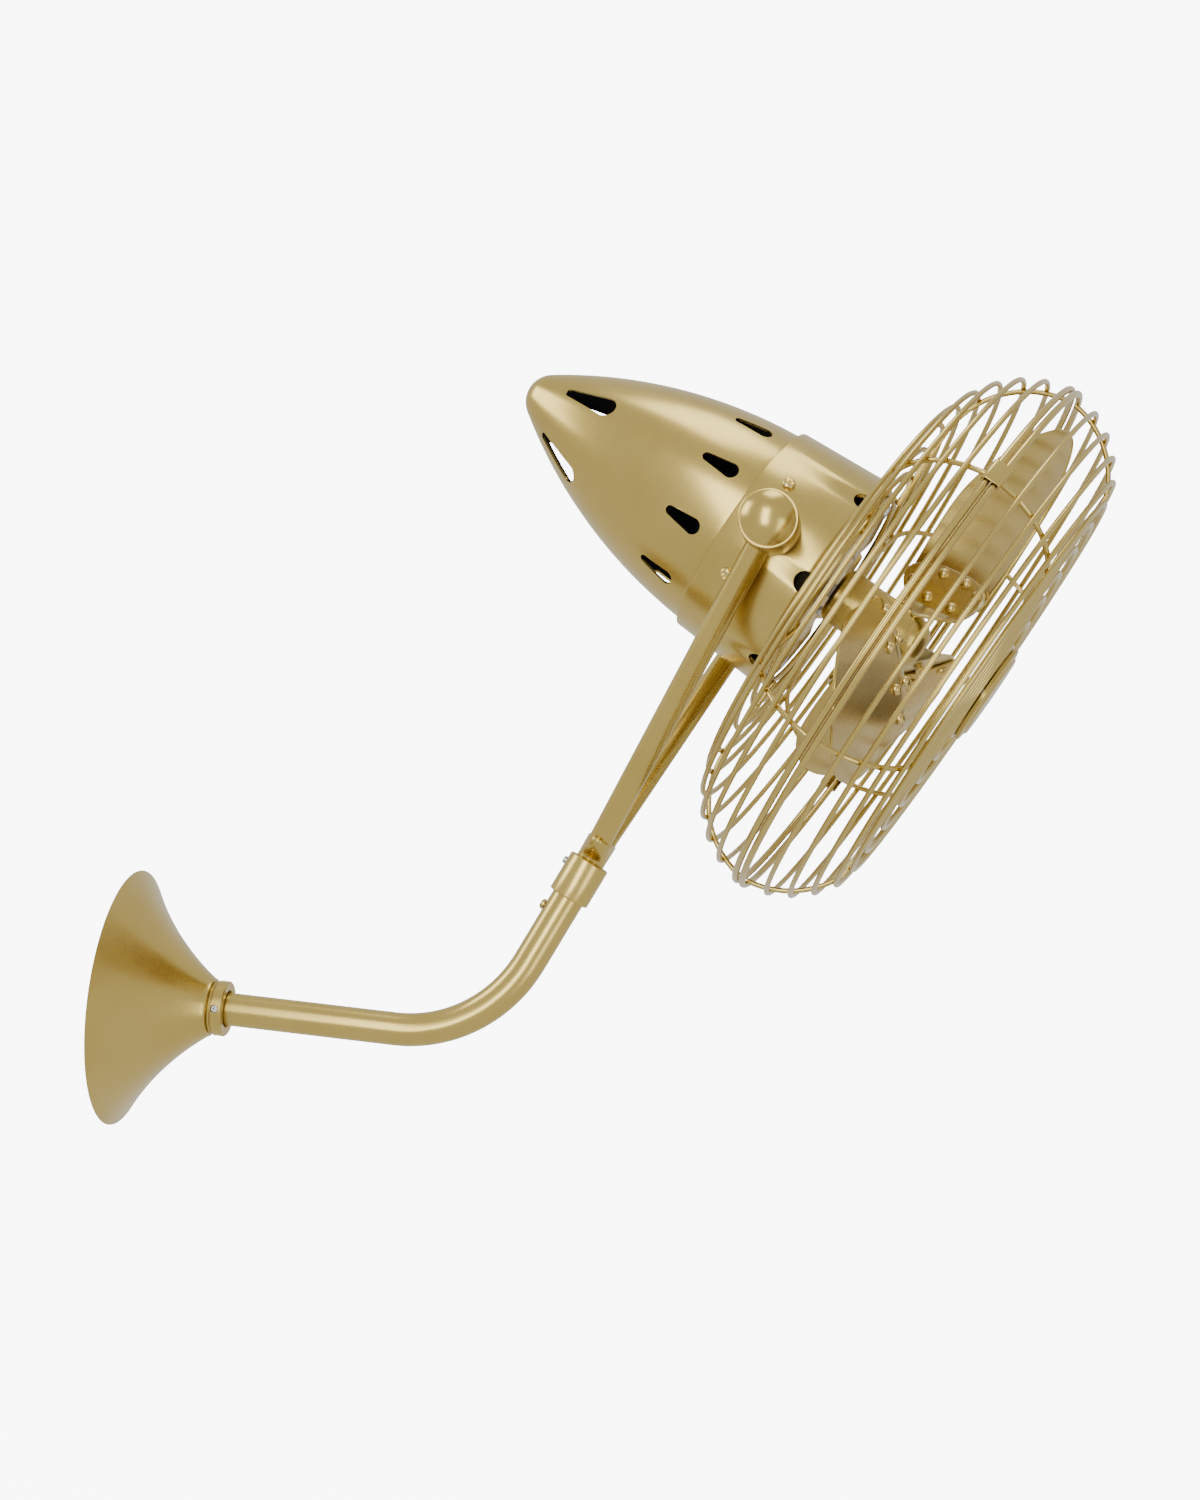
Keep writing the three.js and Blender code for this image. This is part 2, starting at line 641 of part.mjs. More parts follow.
function couplingCollar() {
  const half = COLLAR_LENGTH / 2;
  const spigotRadius = TUBE_BORE_RADIUS - CLEARANCE;
  const tubeFloor = -half + COLLAR_TUBE_DEPTH;
  const body = solid(turned([
    [tubeHole, -half],
    [COLLAR_RADIUS - COLLAR_CHAMFER, -half],
    [COLLAR_RADIUS, -half + COLLAR_CHAMFER],
    [COLLAR_RADIUS, half - COLLAR_CHAMFER],
    [COLLAR_RADIUS - COLLAR_CHAMFER, half],
    [STEM_RADIUS + CLEARANCE, half],
    [STEM_RADIUS + CLEARANCE, half - COLLAR_STEM_DEPTH],
    [COLLAR_WIRE_RADIUS, half - COLLAR_STEM_DEPTH],
    [COLLAR_WIRE_RADIUS, -half - COLLAR_SPIGOT_LENGTH],
    [spigotRadius, -half - COLLAR_SPIGOT_LENGTH],
    [spigotRadius, tubeFloor],
    [tubeHole, tubeFloor],
    [tubeHole, -half],
  ], MEDIUM));
  const screwHole = rod(COLLAR_SCREW_RADIUS + CLEARANCE, 0, COLLAR_RADIUS + 1).rotateY(-Math.PI / 2);
  const lockHole = rod(LOCK_SCREW_RADIUS + CLEARANCE, 0, TUBE_RADIUS).rotateY(-Math.PI / 2);
  return cut(body, [
    solid(screwHole.translate(0, 0, COLLAR_SCREW_HEIGHT)),
    solid(lockHole.translate(0, 0, -half - LOCK_SCREW_DROP)),
  ]);
}

// ---------------------------------------------------------------- yoke, in a frame with +Z along the stem

const stemFoot = collarTop - COLLAR_STEM_DEPTH + CLEARANCE - YOKE_LENGTH;
const neckStart = collarTop - YOKE_LENGTH;
const neckTop = neckStart + NECK_LENGTH;
const footHeight = neckStart + YOKE_FOOT_RISE;
const footPoint = (side) => new THREE.Vector3(0, side * YOKE_FOOT_HALF_SPAN, footHeight);
const knucklePoint = (side) => new THREE.Vector3(0, side * knuckleMiddle, 0);
const tubeDirection = (side) => knucklePoint(side).sub(footPoint(side)).normalize();
const tubeFoot = (side) => {
  const direction = tubeDirection(side);
  const rise = neckTop - NECK_SOCKET_DEPTH - footHeight;
  return footPoint(side).addScaledVector(direction, rise / direction.z);
};

function oval(halfDepth, halfWidth, height) {
  return Array.from({ length: MEDIUM }, (_, i) => {
    const angle = (2 * Math.PI * i) / MEDIUM;
    return new THREE.Vector3(halfDepth * Math.cos(angle), halfWidth * Math.sin(angle), height);
  });
}

function yokeStem() {
  const flare = NECK_FLARE.map(([height, width]) => (
    oval(STEM_RADIUS, NECK_HALF_WIDTH * width, neckStart + NECK_LENGTH * height)
  ));
  const body = solid(loft([
    oval(STEM_RADIUS, STEM_RADIUS, stemFoot),
    oval(STEM_RADIUS, STEM_RADIUS, neckStart + NECK_LENGTH * NECK_STRAIGHT),
    ...flare,
    oval(STEM_RADIUS, NECK_HALF_WIDTH, neckTop - NECK_CHAMFER),
    oval(STEM_RADIUS - NECK_CHAMFER, NECK_HALF_WIDTH - NECK_CHAMFER, neckTop),
  ]));
  const bore = solid(rod(STEM_WIRE_RADIUS, stemFoot - 1, neckTop - NECK_SOCKET_DEPTH / 2, MEDIUM / 2));
  const sockets = [-1, 1].map((side) => {
    const hole = rod(YOKE_TUBE_RADIUS + CLEARANCE, -CLEARANCE, NECK_LENGTH * 2, MEDIUM);
    return solid(hole.applyMatrix4(placing(tubeFoot(side), tubeDirection(side))));
  });
  return cut(body, [bore, ...sockets]);
}

function yokeTube(side) {
  const foot = tubeFoot(side);
  const length = foot.distanceTo(knucklePoint(side)) - (KNUCKLE_RADIUS - TUBE_SEAT);
  const tube = pipe(YOKE_TUBE_RADIUS, YOKE_TUBE_BORE_RADIUS, 0, length, PLAIN);
  return solid(tube.applyMatrix4(placing(foot, tubeDirection(side))));
}

/** Turns a piece made along +Z so that it points outwards along the tilt axis on one side. */
const sideways = (geometry, side) => geometry.rotateX((-side * Math.PI) / 2);

function knuckle(side) {
  const body = solid(sideways(turned([
    [PIVOT_RADIUS + CLEARANCE, knuckleInner],
    [KNUCKLE_RADIUS - KNUCKLE_BEVEL, knuckleInner],
    [KNUCKLE_RADIUS, knuckleInner + KNUCKLE_BEVEL],
    [KNUCKLE_RADIUS, knuckleOuter],
    [KNUCKLE_RECESS_RADIUS, knuckleOuter],
    [KNUCKLE_RECESS_RADIUS, knuckleOuter - KNUCKLE_RECESS_DEPTH],
    [PIVOT_RADIUS + CLEARANCE, knuckleOuter - KNUCKLE_RECESS_DEPTH],
    [PIVOT_RADIUS + CLEARANCE, knuckleInner],
  ], MEDIUM), side));
  const seat = rod(YOKE_TUBE_RADIUS + CLEARANCE, 0, KNUCKLE_RADIUS * 2, MEDIUM);
  const direction = tubeDirection(side);
  const end = knucklePoint(side).addScaledVector(direction, -(KNUCKLE_RADIUS - TUBE_SEAT) + CLEARANCE);
  return cut(body, [solid(seat.applyMatrix4(placing(end, direction.negate())))]);
}

function knuckleCap(side) {
  const base = knuckleOuter + CLEARANCE;
  const dome = [];
  const ballRadius = (KNUCKLE_RADIUS ** 2 + CAP_HEIGHT ** 2) / (2 * CAP_HEIGHT);
  const edgeAngle = Math.asin(KNUCKLE_RADIUS / ballRadius);
  for (let i = 0; i <= CAP_DOME_STEPS; i += 1) {
    const angle = edgeAngle * (1 - i / CAP_DOME_STEPS);
    const height = ballRadius * (Math.cos(angle) - Math.cos(edgeAngle));
    dome.push([ballRadius * Math.sin(angle), base + CAP_RIM + height]);
  }
  return sideways(turned([
    [0, base - CAP_PLUG_DEPTH],
    [KNUCKLE_RECESS_RADIUS - CLEARANCE, base - CAP_PLUG_DEPTH],
    [KNUCKLE_RECESS_RADIUS - CLEARANCE, base],
    [KNUCKLE_RADIUS, base],
    ...dome,
  ], MEDIUM), side);
}

// ---------------------------------------------------------------- head, +Z along the fan axis

/** The rear shell's outline from the joint back to the nose, as [radius, height] points. */
function rearLine(inset) {
  const arcRadius = REAR_ARC_RADIUS - inset;
  const ballRadius = NOSE_RADIUS - inset;
  const centreHeight = lip + REAR_ARC_RADIUS * Math.sin(rad(REAR_ARC_START));
  const centreRadius = REAR_RADIUS - REAR_ARC_RADIUS * Math.cos(rad(REAR_ARC_START));
  const reach = Math.sqrt((REAR_ARC_RADIUS - NOSE_RADIUS) ** 2 - centreRadius ** 2);
  const ballHeight = centreHeight - reach;
  const endAngle = Math.asin(reach / (REAR_ARC_RADIUS - NOSE_RADIUS));
  const points = [];
  for (let i = 0; i <= REAR_ARC_STEPS; i += 1) {
    const angle = THREE.MathUtils.lerp(rad(REAR_ARC_START), endAngle, i / REAR_ARC_STEPS);
    points.push([centreRadius + arcRadius * Math.cos(angle), centreHeight - arcRadius * Math.sin(angle)]);
  }
  for (let i = 1; i <= NOSE_STEPS; i += 1) {
    const angle = THREE.MathUtils.lerp(endAngle, Math.PI / 2, i / NOSE_STEPS);
    points.push([ballRadius * Math.cos(angle), ballHeight - ballRadius * Math.sin(angle)]);
  }
  points[points.length - 1][0] = 0;
  return points;
}

/** A teardrop cutter that points outwards at one angle round the fan axis. */
function teardrop(slot, angle) {
  const shape = new THREE.Shape();
  shape.absarc(0, slot.front - slot.wide, slot.wide, 0, Math.PI, false);
  shape.absarc(0, slot.rear + slot.narrow, slot.narrow, Math.PI, 2 * Math.PI, false);
  const block = new THREE.ExtrudeGeometry(shape, {
    depth: REAR_RADIUS + SLOT_OVERRUN,
    bevelEnabled: false,
    curveSegments: slot.arcSteps,
  });
  block.rotateX(Math.PI / 2);
  block.rotateZ(rad(fromTop(angle) + 90));
  return solid(block);
}

function rearShell() {
  const outer = rearLine(0);
  const inner = rearLine(SHELL_WALL);
  const rimEnd = lip + REAR_RIM_LENGTH;
  const body = solid(turned([
    [REAR_RADIUS - SHELL_WALL, rimEnd],
    [REAR_RADIUS, rimEnd],
    ...outer,
    ...inner.reverse(),
    [REAR_RADIUS - SHELL_WALL, rimEnd],
  ], FINE));
  const slots = [
    ...evenAngles(NOSE_SLOTS, NOSE_SLOT.start).map((angle) => teardrop(NOSE_SLOT, angle)),
    ...evenAngles(MID_SLOTS, MID_SLOT.start).map((angle) => teardrop(MID_SLOT, angle)),
  ];
  return cut(body, [...slots, ...shellScrewHoles()]);
}

const shellScrewAngles = [90, 270].flatMap((a) => [a - SHELL_SCREW_OFFSET, a + SHELL_SCREW_OFFSET]);

/** Places a piece made along +Z on the housing's side, pointing outwards. */
function onSide(geometry, angle, radius, height) {
  geometry.rotateY(Math.PI / 2);
  geometry.translate(radius, 0, height);
  return geometry.rotateZ(rad(fromTop(angle)));
}

function shellScrewHoles() {
  return shellScrewAngles.map((angle) => {
    const hole = rod(SHELL_SCREW_RADIUS + CLEARANCE, -SHELL_SCREW_LENGTH, FRONT_WALL);
    return solid(onSide(hole, angle, frontRadiusAt(-SHELL_SCREW_SETBACK), -SHELL_SCREW_SETBACK));
  });
}

function shellScrew() {
  const seat = frontRadiusAt(-SHELL_SCREW_SETBACK) + CLEARANCE;
  const fastener = screw(SHELL_SCREW_RADIUS, SHELL_SCREW_LENGTH, SHELL_HEAD_RADIUS, SHELL_HEAD_HEIGHT);
  return onSide(fastener, 0, seat, -SHELL_SCREW_SETBACK);
}

/** A cutter for a slot that runs from a round end on the side over the corner and along the face. */
function frontSlot(angle) {
  const shape = new THREE.Shape();
  const ahead = FRONT_FACE + SLOT_OVERRUN;
  shape.moveTo(FRONT_SLOT_HALF_WIDTH, ahead);
  shape.lineTo(-FRONT_SLOT_HALF_WIDTH, ahead);
  const middle = FRONT_SLOT_REAR + FRONT_SLOT_HALF_WIDTH;
  shape.absarc(0, middle, FRONT_SLOT_HALF_WIDTH, Math.PI, 2 * Math.PI, false);
  const depth = frontRadiusAt(FRONT_FACE) + SLOT_OVERRUN - FRONT_SLOT_INNER_RADIUS;
  const block = new THREE.ExtrudeGeometry(shape, { depth, bevelEnabled: false, curveSegments: 3 });
  block.translate(0, 0, FRONT_SLOT_INNER_RADIUS).rotateX(Math.PI / 2);
  return solid(block.rotateZ(rad(fromTop(angle) + 90)));
}

function cornerArc(radius, face, rounding, steps) {
  return Array.from({ length: steps + 1 }, (_, i) => {
    const angle = (Math.PI / 2) * (i / steps);
    return [
      radius - rounding + rounding * Math.cos(angle),
      face - rounding + rounding * Math.sin(angle),
    ];
  });
}

function frontShell() {
  const rearRadius = frontRadiusAt(lip);
  const faceRadius = frontRadiusAt(FRONT_FACE);
  const insideFace = FRONT_FACE - FRONT_WALL;
  const inside = REAR_RADIUS + CLEARANCE;
  const body = solid(turned([
    [inside, lip],
    [rearRadius - FRONT_LIP_CHAMFER, lip],
    [rearRadius, lip + FRONT_LIP_CHAMFER],
    ...cornerArc(faceRadius, FRONT_FACE, FRONT_CORNER, 3),
    [FRONT_BORE_RADIUS, FRONT_FACE],
    [FRONT_BORE_RADIUS, insideFace],
    ...cornerArc(faceRadius - FRONT_WALL, insideFace, FRONT_CORNER - FRONT_WALL, 1).reverse(),
    [inside, lip],
  ], FINE));
  const slots = evenAngles(FRONT_SLOTS, FRONT_SLOT_START).map(frontSlot);
  const pivotHoles = [-1, 1].map((side) => {
    const hole = sideways(rod(PIVOT_RADIUS + CLEARANCE, 0, frontRadiusAt(0) + SLOT_OVERRUN), side);
    return solid(hole.translate(-HEAD_DROP, 0, 0));
  });
  const motorHoles = evenAngles(MOTOR_SCREWS, MOTOR_SCREW_START).map((angle) => {
    const hole = rod(MOTOR_SCREW_RADIUS + CLEARANCE, insideFace - 1, FRONT_FACE + 1);
    return solid(hole.translate(MOTOR_SCREW_CIRCLE, 0, 0).rotateZ(rad(angle)));
  });
  const guardHoles = guardScrewAngles.map((angle) => {
    const hole = rod(GUARD_SCREW_RADIUS + CLEARANCE, insideFace - 1, FRONT_FACE + 1);
    return solid(hole.translate(guardScrewCircle, 0, 0).rotateZ(rad(angle)));
  });
  return cut(body, [...slots, ...pivotHoles, ...motorHoles, ...guardHoles, ...shellScrewHoles()]);
}

/** Spacer between housing and knuckle, in the head's frame at the tilt axis. */
function pivotSpacer(side) {
  const body = solid(sideways(
    pipe(SPACER_RADIUS, PIVOT_RADIUS + CLEARANCE, frontRadiusAt(0) - SPACER_ROOT, knuckleInner - CLEARANCE),
    side,
  ));
  const housing = turned([
    [0, lip],
    [frontRadiusAt(lip) + CLEARANCE, lip],
    [frontRadiusAt(FRONT_FACE) + CLEARANCE, FRONT_FACE],
    [0, FRONT_FACE],
  ], FINE);
  return cut(body, [solid(housing.translate(HEAD_DROP, 0, 0))]);
}

function pivotBolt(side) {
  const headSeat = knuckleOuter - KNUCKLE_RECESS_DEPTH + WASHER_THICKNESS + 2 * CLEARANCE;
  const shank = headSeat - MOTOR_RADIUS + PIVOT_THREAD_DEPTH;
  const bolt = turned([
    [0, -shank],
    [PIVOT_RADIUS, -shank],
    [PIVOT_RADIUS, 0],
    [PIVOT_HEAD_RADIUS, 0],
    [PIVOT_HEAD_RADIUS, PIVOT_HEAD_HEIGHT],
    [0, PIVOT_HEAD_HEIGHT],
  ], COARSE);
  return sideways(bolt.translate(0, 0, headSeat), side);
}

function pivotWasher(side) {
  const seat = knuckleOuter - KNUCKLE_RECESS_DEPTH + CLEARANCE;
  return sideways(pipe(WASHER_RADIUS, PIVOT_RADIUS + CLEARANCE, seat, seat + WASHER_THICKNESS, PLAIN), side);
}

// ---------------------------------------------------------------- motor, in the fan axis' frame

const motorFront = FRONT_FACE - FRONT_WALL - CLEARANCE;
const bearingSeat = BEARING_RADIUS + CLEARANCE;
const rearBearing = MOTOR_REAR + BEARING_LENGTH;

function motorCan() {
  const body = solid(turned([
    [bearingSeat, MOTOR_REAR],
    [MOTOR_RADIUS - MOTOR_SHOULDER, MOTOR_REAR],
    [MOTOR_RADIUS, MOTOR_REAR + MOTOR_SHOULDER],
    [MOTOR_RADIUS, motorFront - MOTOR_SHOULDER],
    [MOTOR_RADIUS - MOTOR_SHOULDER, motorFront],
    [bearingSeat, motorFront],
    [bearingSeat, motorFront - BEARING_LENGTH - CLEARANCE],
    [SHAFT_RADIUS + CAN_BORE_GAP, motorFront - BEARING_LENGTH - CLEARANCE],
    [SHAFT_RADIUS + CAN_BORE_GAP, rearBearing + CLEARANCE],
    [bearingSeat, rearBearing + CLEARANCE],
    [bearingSeat, MOTOR_REAR],
  ], PLAIN));
  const boltHoles = [-1, 1].map((side) => {
    const hole = rod(PIVOT_RADIUS + CLEARANCE, MOTOR_RADIUS - PIVOT_THREAD_DEPTH - 1, MOTOR_RADIUS + 5);
    return solid(sideways(hole, side).translate(-HEAD_DROP, 0, 0));
  });
  const tapped = evenAngles(MOTOR_SCREWS, MOTOR_SCREW_START).map((angle) => {
    const hole = rod(MOTOR_SCREW_RADIUS + CLEARANCE, FRONT_FACE - MOTOR_SCREW_LENGTH - 1, motorFront + 1);
    return solid(hole.translate(MOTOR_SCREW_CIRCLE, 0, 0).rotateZ(rad(angle)));
  });
  return cut(body, [...boltHoles, ...tapped]);
}

function bearing(from) {
  return pipe(BEARING_RADIUS, SHAFT_RADIUS + CLEARANCE, from, from + BEARING_LENGTH, PLAIN);
}

function motorScrew() {
  const fastener = screw(MOTOR_SCREW_RADIUS, MOTOR_SCREW_LENGTH, MOTOR_HEAD_RADIUS, MOTOR_HEAD_HEIGHT);
  return fastener.translate(MOTOR_SCREW_CIRCLE, 0, FRONT_FACE + CLEARANCE);
}

// ---------------------------------------------------------------- rotor, in the fan axis' frame

const hubEnd = HUB_FRONT + HUB_NOSE;
const hubBoreEnd = HUB_FRONT - HUB_FLOOR;
const hubScrewHeight = (BARREL_REAR + BARREL_FRONT) / 2;

function motorShaft() {
  const tail = MOTOR_REAR - SHAFT_TAIL;
  return turned([
    [0, tail],
    [SHAFT_RADIUS - SHAFT_CHAMFER, tail],
    [SHAFT_RADIUS, tail + SHAFT_CHAMFER],
    [SHAFT_RADIUS, hubBoreEnd - CLEARANCE],
    [0, hubBoreEnd - CLEARANCE],
  ], PLAIN);
}

function hub() {
  const nose = Array.from({ length: HUB_NOSE_STEPS }, (_, i) => {
    const angle = (Math.PI / 2) * ((i + 1) / HUB_NOSE_STEPS);
    return [HUB_RADIUS * Math.cos(angle), HUB_FRONT + HUB_NOSE * Math.sin(angle)];
  });
  nose[nose.length - 1][0] = 0;
  const bore = SHAFT_RADIUS + CLEARANCE;
  const body = solid(turned([
    [bore, BARREL_REAR],
    [BARREL_RADIUS, BARREL_REAR],
    [BARREL_RADIUS, BARREL_FRONT - BARREL_BEVEL],
    [BARREL_RADIUS - BARREL_BEVEL, BARREL_FRONT],
    [HUB_RADIUS, BARREL_FRONT],
    [HUB_RADIUS, HUB_FRONT],
    ...nose,
    [0, hubBoreEnd],
    [bore, hubBoreEnd],
    [bore, BARREL_REAR],
  ], MEDIUM));
  const screwHole = rod(HUB_SCREW_RADIUS + CLEARANCE, 0, BARREL_RADIUS + 2).rotateY(Math.PI / 2);
  const padHoles = bladeAngles.map((angle) => {
    const hole = rod(IRON_SCREW_RADIUS + CLEARANCE, HUB_RADIUS - IRON_SCREW_DEPTH - 1, HUB_RADIUS + 1);
    hole.rotateY(Math.PI / 2);
    return solid(hole.translate(0, 0, ironCentre).rotateZ(rad(angle)));
  });
  return cut(body, [solid(screwHole.translate(0, 0, hubScrewHeight)), ...padHoles]);
}

const bladeAngles = evenAngles(BLADES, fromTop(0));
const ironCentre = BARREL_FRONT + CLEARANCE + IRON_PAD_LENGTH / 2;

function pitchAt(radius) {
  const share = (radius - BLADE_ROOT_RADIUS) / (BLADE_TIP_RADIUS - BLADE_ROOT_RADIUS);
  return rad(THREE.MathUtils.lerp(BLADE_ROOT_ANGLE, BLADE_TIP_ANGLE, THREE.MathUtils.clamp(share, 0, 1)));
}

/** A point of a blade's curved surface: radius from the axis, place across the chord, height off it. */
function bladePoint(radius, chord, height) {
  const pitch = pitchAt(radius);
  const bow = BLADE_CAMBER * (1 - (2 * chord / BLADE_WIDTH) ** 2) - BLADE_CAMBER / 2;
  const lift = bow + height;
  const axial = middleAt(radius) + chord * Math.sin(pitch) + lift * Math.cos(pitch);
  return new THREE.Vector3(radius, chord * Math.cos(pitch) - lift * Math.sin(pitch), axial);
}

/** Axial place of the chord's middle: the iron leads forward from the hub to the blade. */
function middleAt(radius) {
  const share = THREE.MathUtils.clamp((radius - HUB_RADIUS) / (BLADE_ROOT_RADIUS - HUB_RADIUS), 0, 1);
  return THREE.MathUtils.lerp(ironCentre, BLADE_CENTRE, THREE.MathUtils.smoothstep(share, 0, 1));
}

/** Half the blade's width at a share of its length: a paddle with a round tip. */
function bladeHalfWidth(share) {
  const growth = Math.sin((Math.min(share * BLADE_BELLY_GROWTH, 1) * Math.PI) / 2);
  const belly = THREE.MathUtils.lerp(BLADE_ROOT_WIDTH, BLADE_WIDTH, growth);
  const tip = Math.max(0, (share - BLADE_TIP_START) / (1 - BLADE_TIP_START));
  return (belly / 2) * Math.sqrt(Math.max(1 - tip ** BLADE_TIP_POWER, BLADE_TIP_SHARE));
}

function blade(angle) {
  const surface = (u, v) => {
    const radius = THREE.MathUtils.lerp(BLADE_ROOT_RADIUS, BLADE_TIP_RADIUS, u ** BLADE_ROW_POWER);
    const share = (radius - BLADE_ROOT_RADIUS) / (BLADE_TIP_RADIUS - BLADE_ROOT_RADIUS);
    return bladePoint(radius, (2 * v - 1) * bladeHalfWidth(share), 0);
  };
  return sheet(surface, ...BLADE_STEPS, BLADE_THICKNESS).rotateZ(rad(angle));
}

// the iron lies behind the blade
const ironLift = -(BLADE_THICKNESS + IRON_THICKNESS) / 2 - IRON_GAP * CLEARANCE;

function ironHalfWidth(share) {
  const growth = Math.sin((share * Math.PI) / 2) ** IRON_SPREAD_POWER;
  return THREE.MathUtils.lerp(IRON_ROOT_WIDTH, IRON_WIDTH, growth) / 2;
}

function bladeIron(angle) {
  const start = HUB_RADIUS + 1;
  const surface = (u, v) => {
    const radius = THREE.MathUtils.lerp(start, IRON_TIP_RADIUS, u);
    return bladePoint(radius, (2 * v - 1) * ironHalfWidth(u), ironLift);
  };
  const plate = solid(sheet(surface, ...IRON_STEPS, IRON_THICKNESS));
  const pad = new THREE.BoxGeometry(IRON_PAD_RADIUS, IRON_PAD_WIDTH, IRON_PAD_LENGTH);
  pad.translate(IRON_PAD_RADIUS / 2, 0, ironCentre);
  const hubSpace = rod(HUB_RADIUS + CLEARANCE, BARREL_REAR, hubEnd, MEDIUM);
  const screwSpace = rod(IRON_SCREW_RADIUS + CLEARANCE, 0, IRON_PAD_RADIUS + 1);
  const headSpace = rod(IRON_HEAD_RADIUS + CLEARANCE, IRON_PAD_RADIUS, IRON_TIP_RADIUS / 2);
  const screwTools = [screwSpace, headSpace].map((tool) => (
    solid(tool.rotateY(Math.PI / 2).translate(0, 0, ironCentre))
  ));
  const tools = [solid(hubSpace), ...screwTools];
  return cut(plate.add(solid(pad)), tools).rotate([0, 0, angle]);
}

function ironScrew() {
  const length = IRON_PAD_RADIUS - HUB_RADIUS + IRON_SCREW_DEPTH;
  const fastener = screw(IRON_SCREW_RADIUS, length, IRON_HEAD_RADIUS, IRON_HEAD_HEIGHT).rotateY(Math.PI / 2);
  return fastener.translate(IRON_PAD_RADIUS + CLEARANCE, 0, ironCentre);
}

// ---------------------------------------------------------------- guard, in the fan axis' frame

const shoulderEnd = SHOULDER_RADIUS - SHOULDER_CENTRE_SETBACK;

/** The rings of one half as [radius, distance from the seam plane], from the seam to the middle. */
function guardRings(faceHeight, faceRings, faceRise) {
  const rings = [];
  for (let i = 0; i < SHOULDER_RINGS; i += 1) {
    const angle = rad(FIRST_RING_ANGLE + i * RING_ANGLE_STEP);
    rings.push([
      SHOULDER_CENTRE_RADIUS + SHOULDER_RADIUS * Math.cos(angle),
      Math.min(SHOULDER_RADIUS * Math.sin(angle) - SHOULDER_CENTRE_SETBACK, faceHeight),
    ]);
  }
  const last = rings[rings.length - 1];
  for (let i = 1; i <= faceRings; i += 1) {
    rings.push([last[0] - i * FACE_RING_STEP, faceHeight + (faceRise * i) / faceRings]);
  }
  return rings;
}

const seamRadius = SHOULDER_CENTRE_RADIUS
  + SHOULDER_RADIUS * Math.cos(Math.asin(SHOULDER_CENTRE_SETBACK / SHOULDER_RADIUS));
const wireReach = WIRE_RADIUS * WIRE_SQUARING;
const seamWireReach = SEAM_WIRE_RADIUS * WIRE_SQUARING;
const seamOffset = seamWireReach + CLEARANCE / 2;
// the rear half's innermost ring lies on the housing's front face
const rearFaceRise = SEAM - FRONT_FACE - CLEARANCE - wireReach - shoulderEnd;
const rearRings = guardRings(shoulderEnd, REAR_FACE_RINGS, rearFaceRise);
const frontRings = guardRings(FRONT_FACE_HEIGHT, FRONT_FACE_RINGS, FRONT_FACE_RISE);
const mountRingRadius = rearRings[rearRings.length - 1][0];
const guardScrewCircle = mountRingRadius - WIRE_RADIUS - GUARD_SCREW_RADIUS - GUARD_SCREW_GAP;
const guardScrewAngles = evenAngles(GUARD_SCREWS, fromTop(GUARD_SCREW_START));

function wireRing(radius, height, reach) {
  const facets = radius > SHOULDER_CENTRE_RADIUS ? GUARD_RING_FACETS : INNER_RING_FACETS;
  const ring = new THREE.TorusGeometry(radius, reach, GUARD_WIRE_FACETS, facets);
  return solid(ring.translate(0, 0, height));
}

/** One rib: a bent wire inside the rings, from the seam to the innermost ring. */
function guardRib(rings, side, angle) {
  const inset = 2 * WIRE_RADIUS - WELD_DEPTH;
  const stops = [[seamRadius, seamOffset], ...rings];
  const line = stops.map(([radius, height]) => new THREE.Vector2(radius, height));
  const inner = insideOf(line, inset);
  const end = inner[inner.length - 1].clone();
  end.x -= WIRE_RADIUS;
  const centre = [...inner.slice(0, -1), end];
  const under = insideOf(centre, wireReach);
  const over = insideOf(centre, -wireReach);
  const sections = centre.map((middle, i) => {
    const corners = [[under[i], 0], [middle, wireReach], [over[i], 0], [middle, -wireReach]];
    return corners.map(([point, offset]) => new THREE.Vector3(point.x, offset, SEAM + side * point.y));
  });
  return solid(loft(sections).rotateZ(rad(fromTop(angle))));
}

function guardHalf(rings, side) {
  const wires = rings.map(([radius, height]) => wireRing(radius, SEAM + side * height, wireReach));
  const seam = wireRing(seamRadius, SEAM + side * seamOffset, seamWireReach);
  const ribs = evenAngles(RIBS, GUARD_RIB_START).map((angle) => guardRib(rings, side, angle));
  return joined([seam, ...wires, ...ribs]);
}

function guardClip(angle) {
  const halfWidth = seamOffset + seamWireReach + CLEARANCE;
  const shape = new THREE.Shape();
  const outer = seamRadius + seamWireReach + CLEARANCE;
  shape.moveTo(outer - CLIP_DEPTH + CLIP_WALL, -halfWidth - CLIP_WALL);
  shape.lineTo(outer + CLIP_WALL, -halfWidth - CLIP_WALL);
  shape.lineTo(outer + CLIP_WALL, halfWidth + CLIP_WALL);
  shape.lineTo(outer - CLIP_DEPTH + CLIP_WALL, halfWidth + CLIP_WALL);
  shape.lineTo(outer - CLIP_DEPTH + CLIP_WALL, halfWidth);
  shape.lineTo(outer, halfWidth);
  shape.lineTo(outer, -halfWidth);
  shape.lineTo(outer - CLIP_DEPTH + CLIP_WALL, -halfWidth);
  const clip = new THREE.ExtrudeGeometry(shape, { depth: CLIP_LENGTH, bevelEnabled: false });
  clip.translate(0, 0, -CLIP_LENGTH / 2).rotateX(Math.PI / 2);
  return solid(clip.translate(0, 0, SEAM).rotateZ(rad(fromTop(angle))));
}

const frontFaceHeight = SEAM + FRONT_FACE_HEIGHT + FRONT_FACE_RISE;
const badgeBack = frontFaceHeight + wireReach + CLEARANCE;
const plateFront = frontFaceHeight - 4 * WIRE_RADIUS + WELD_DEPTH - CLEARANCE;

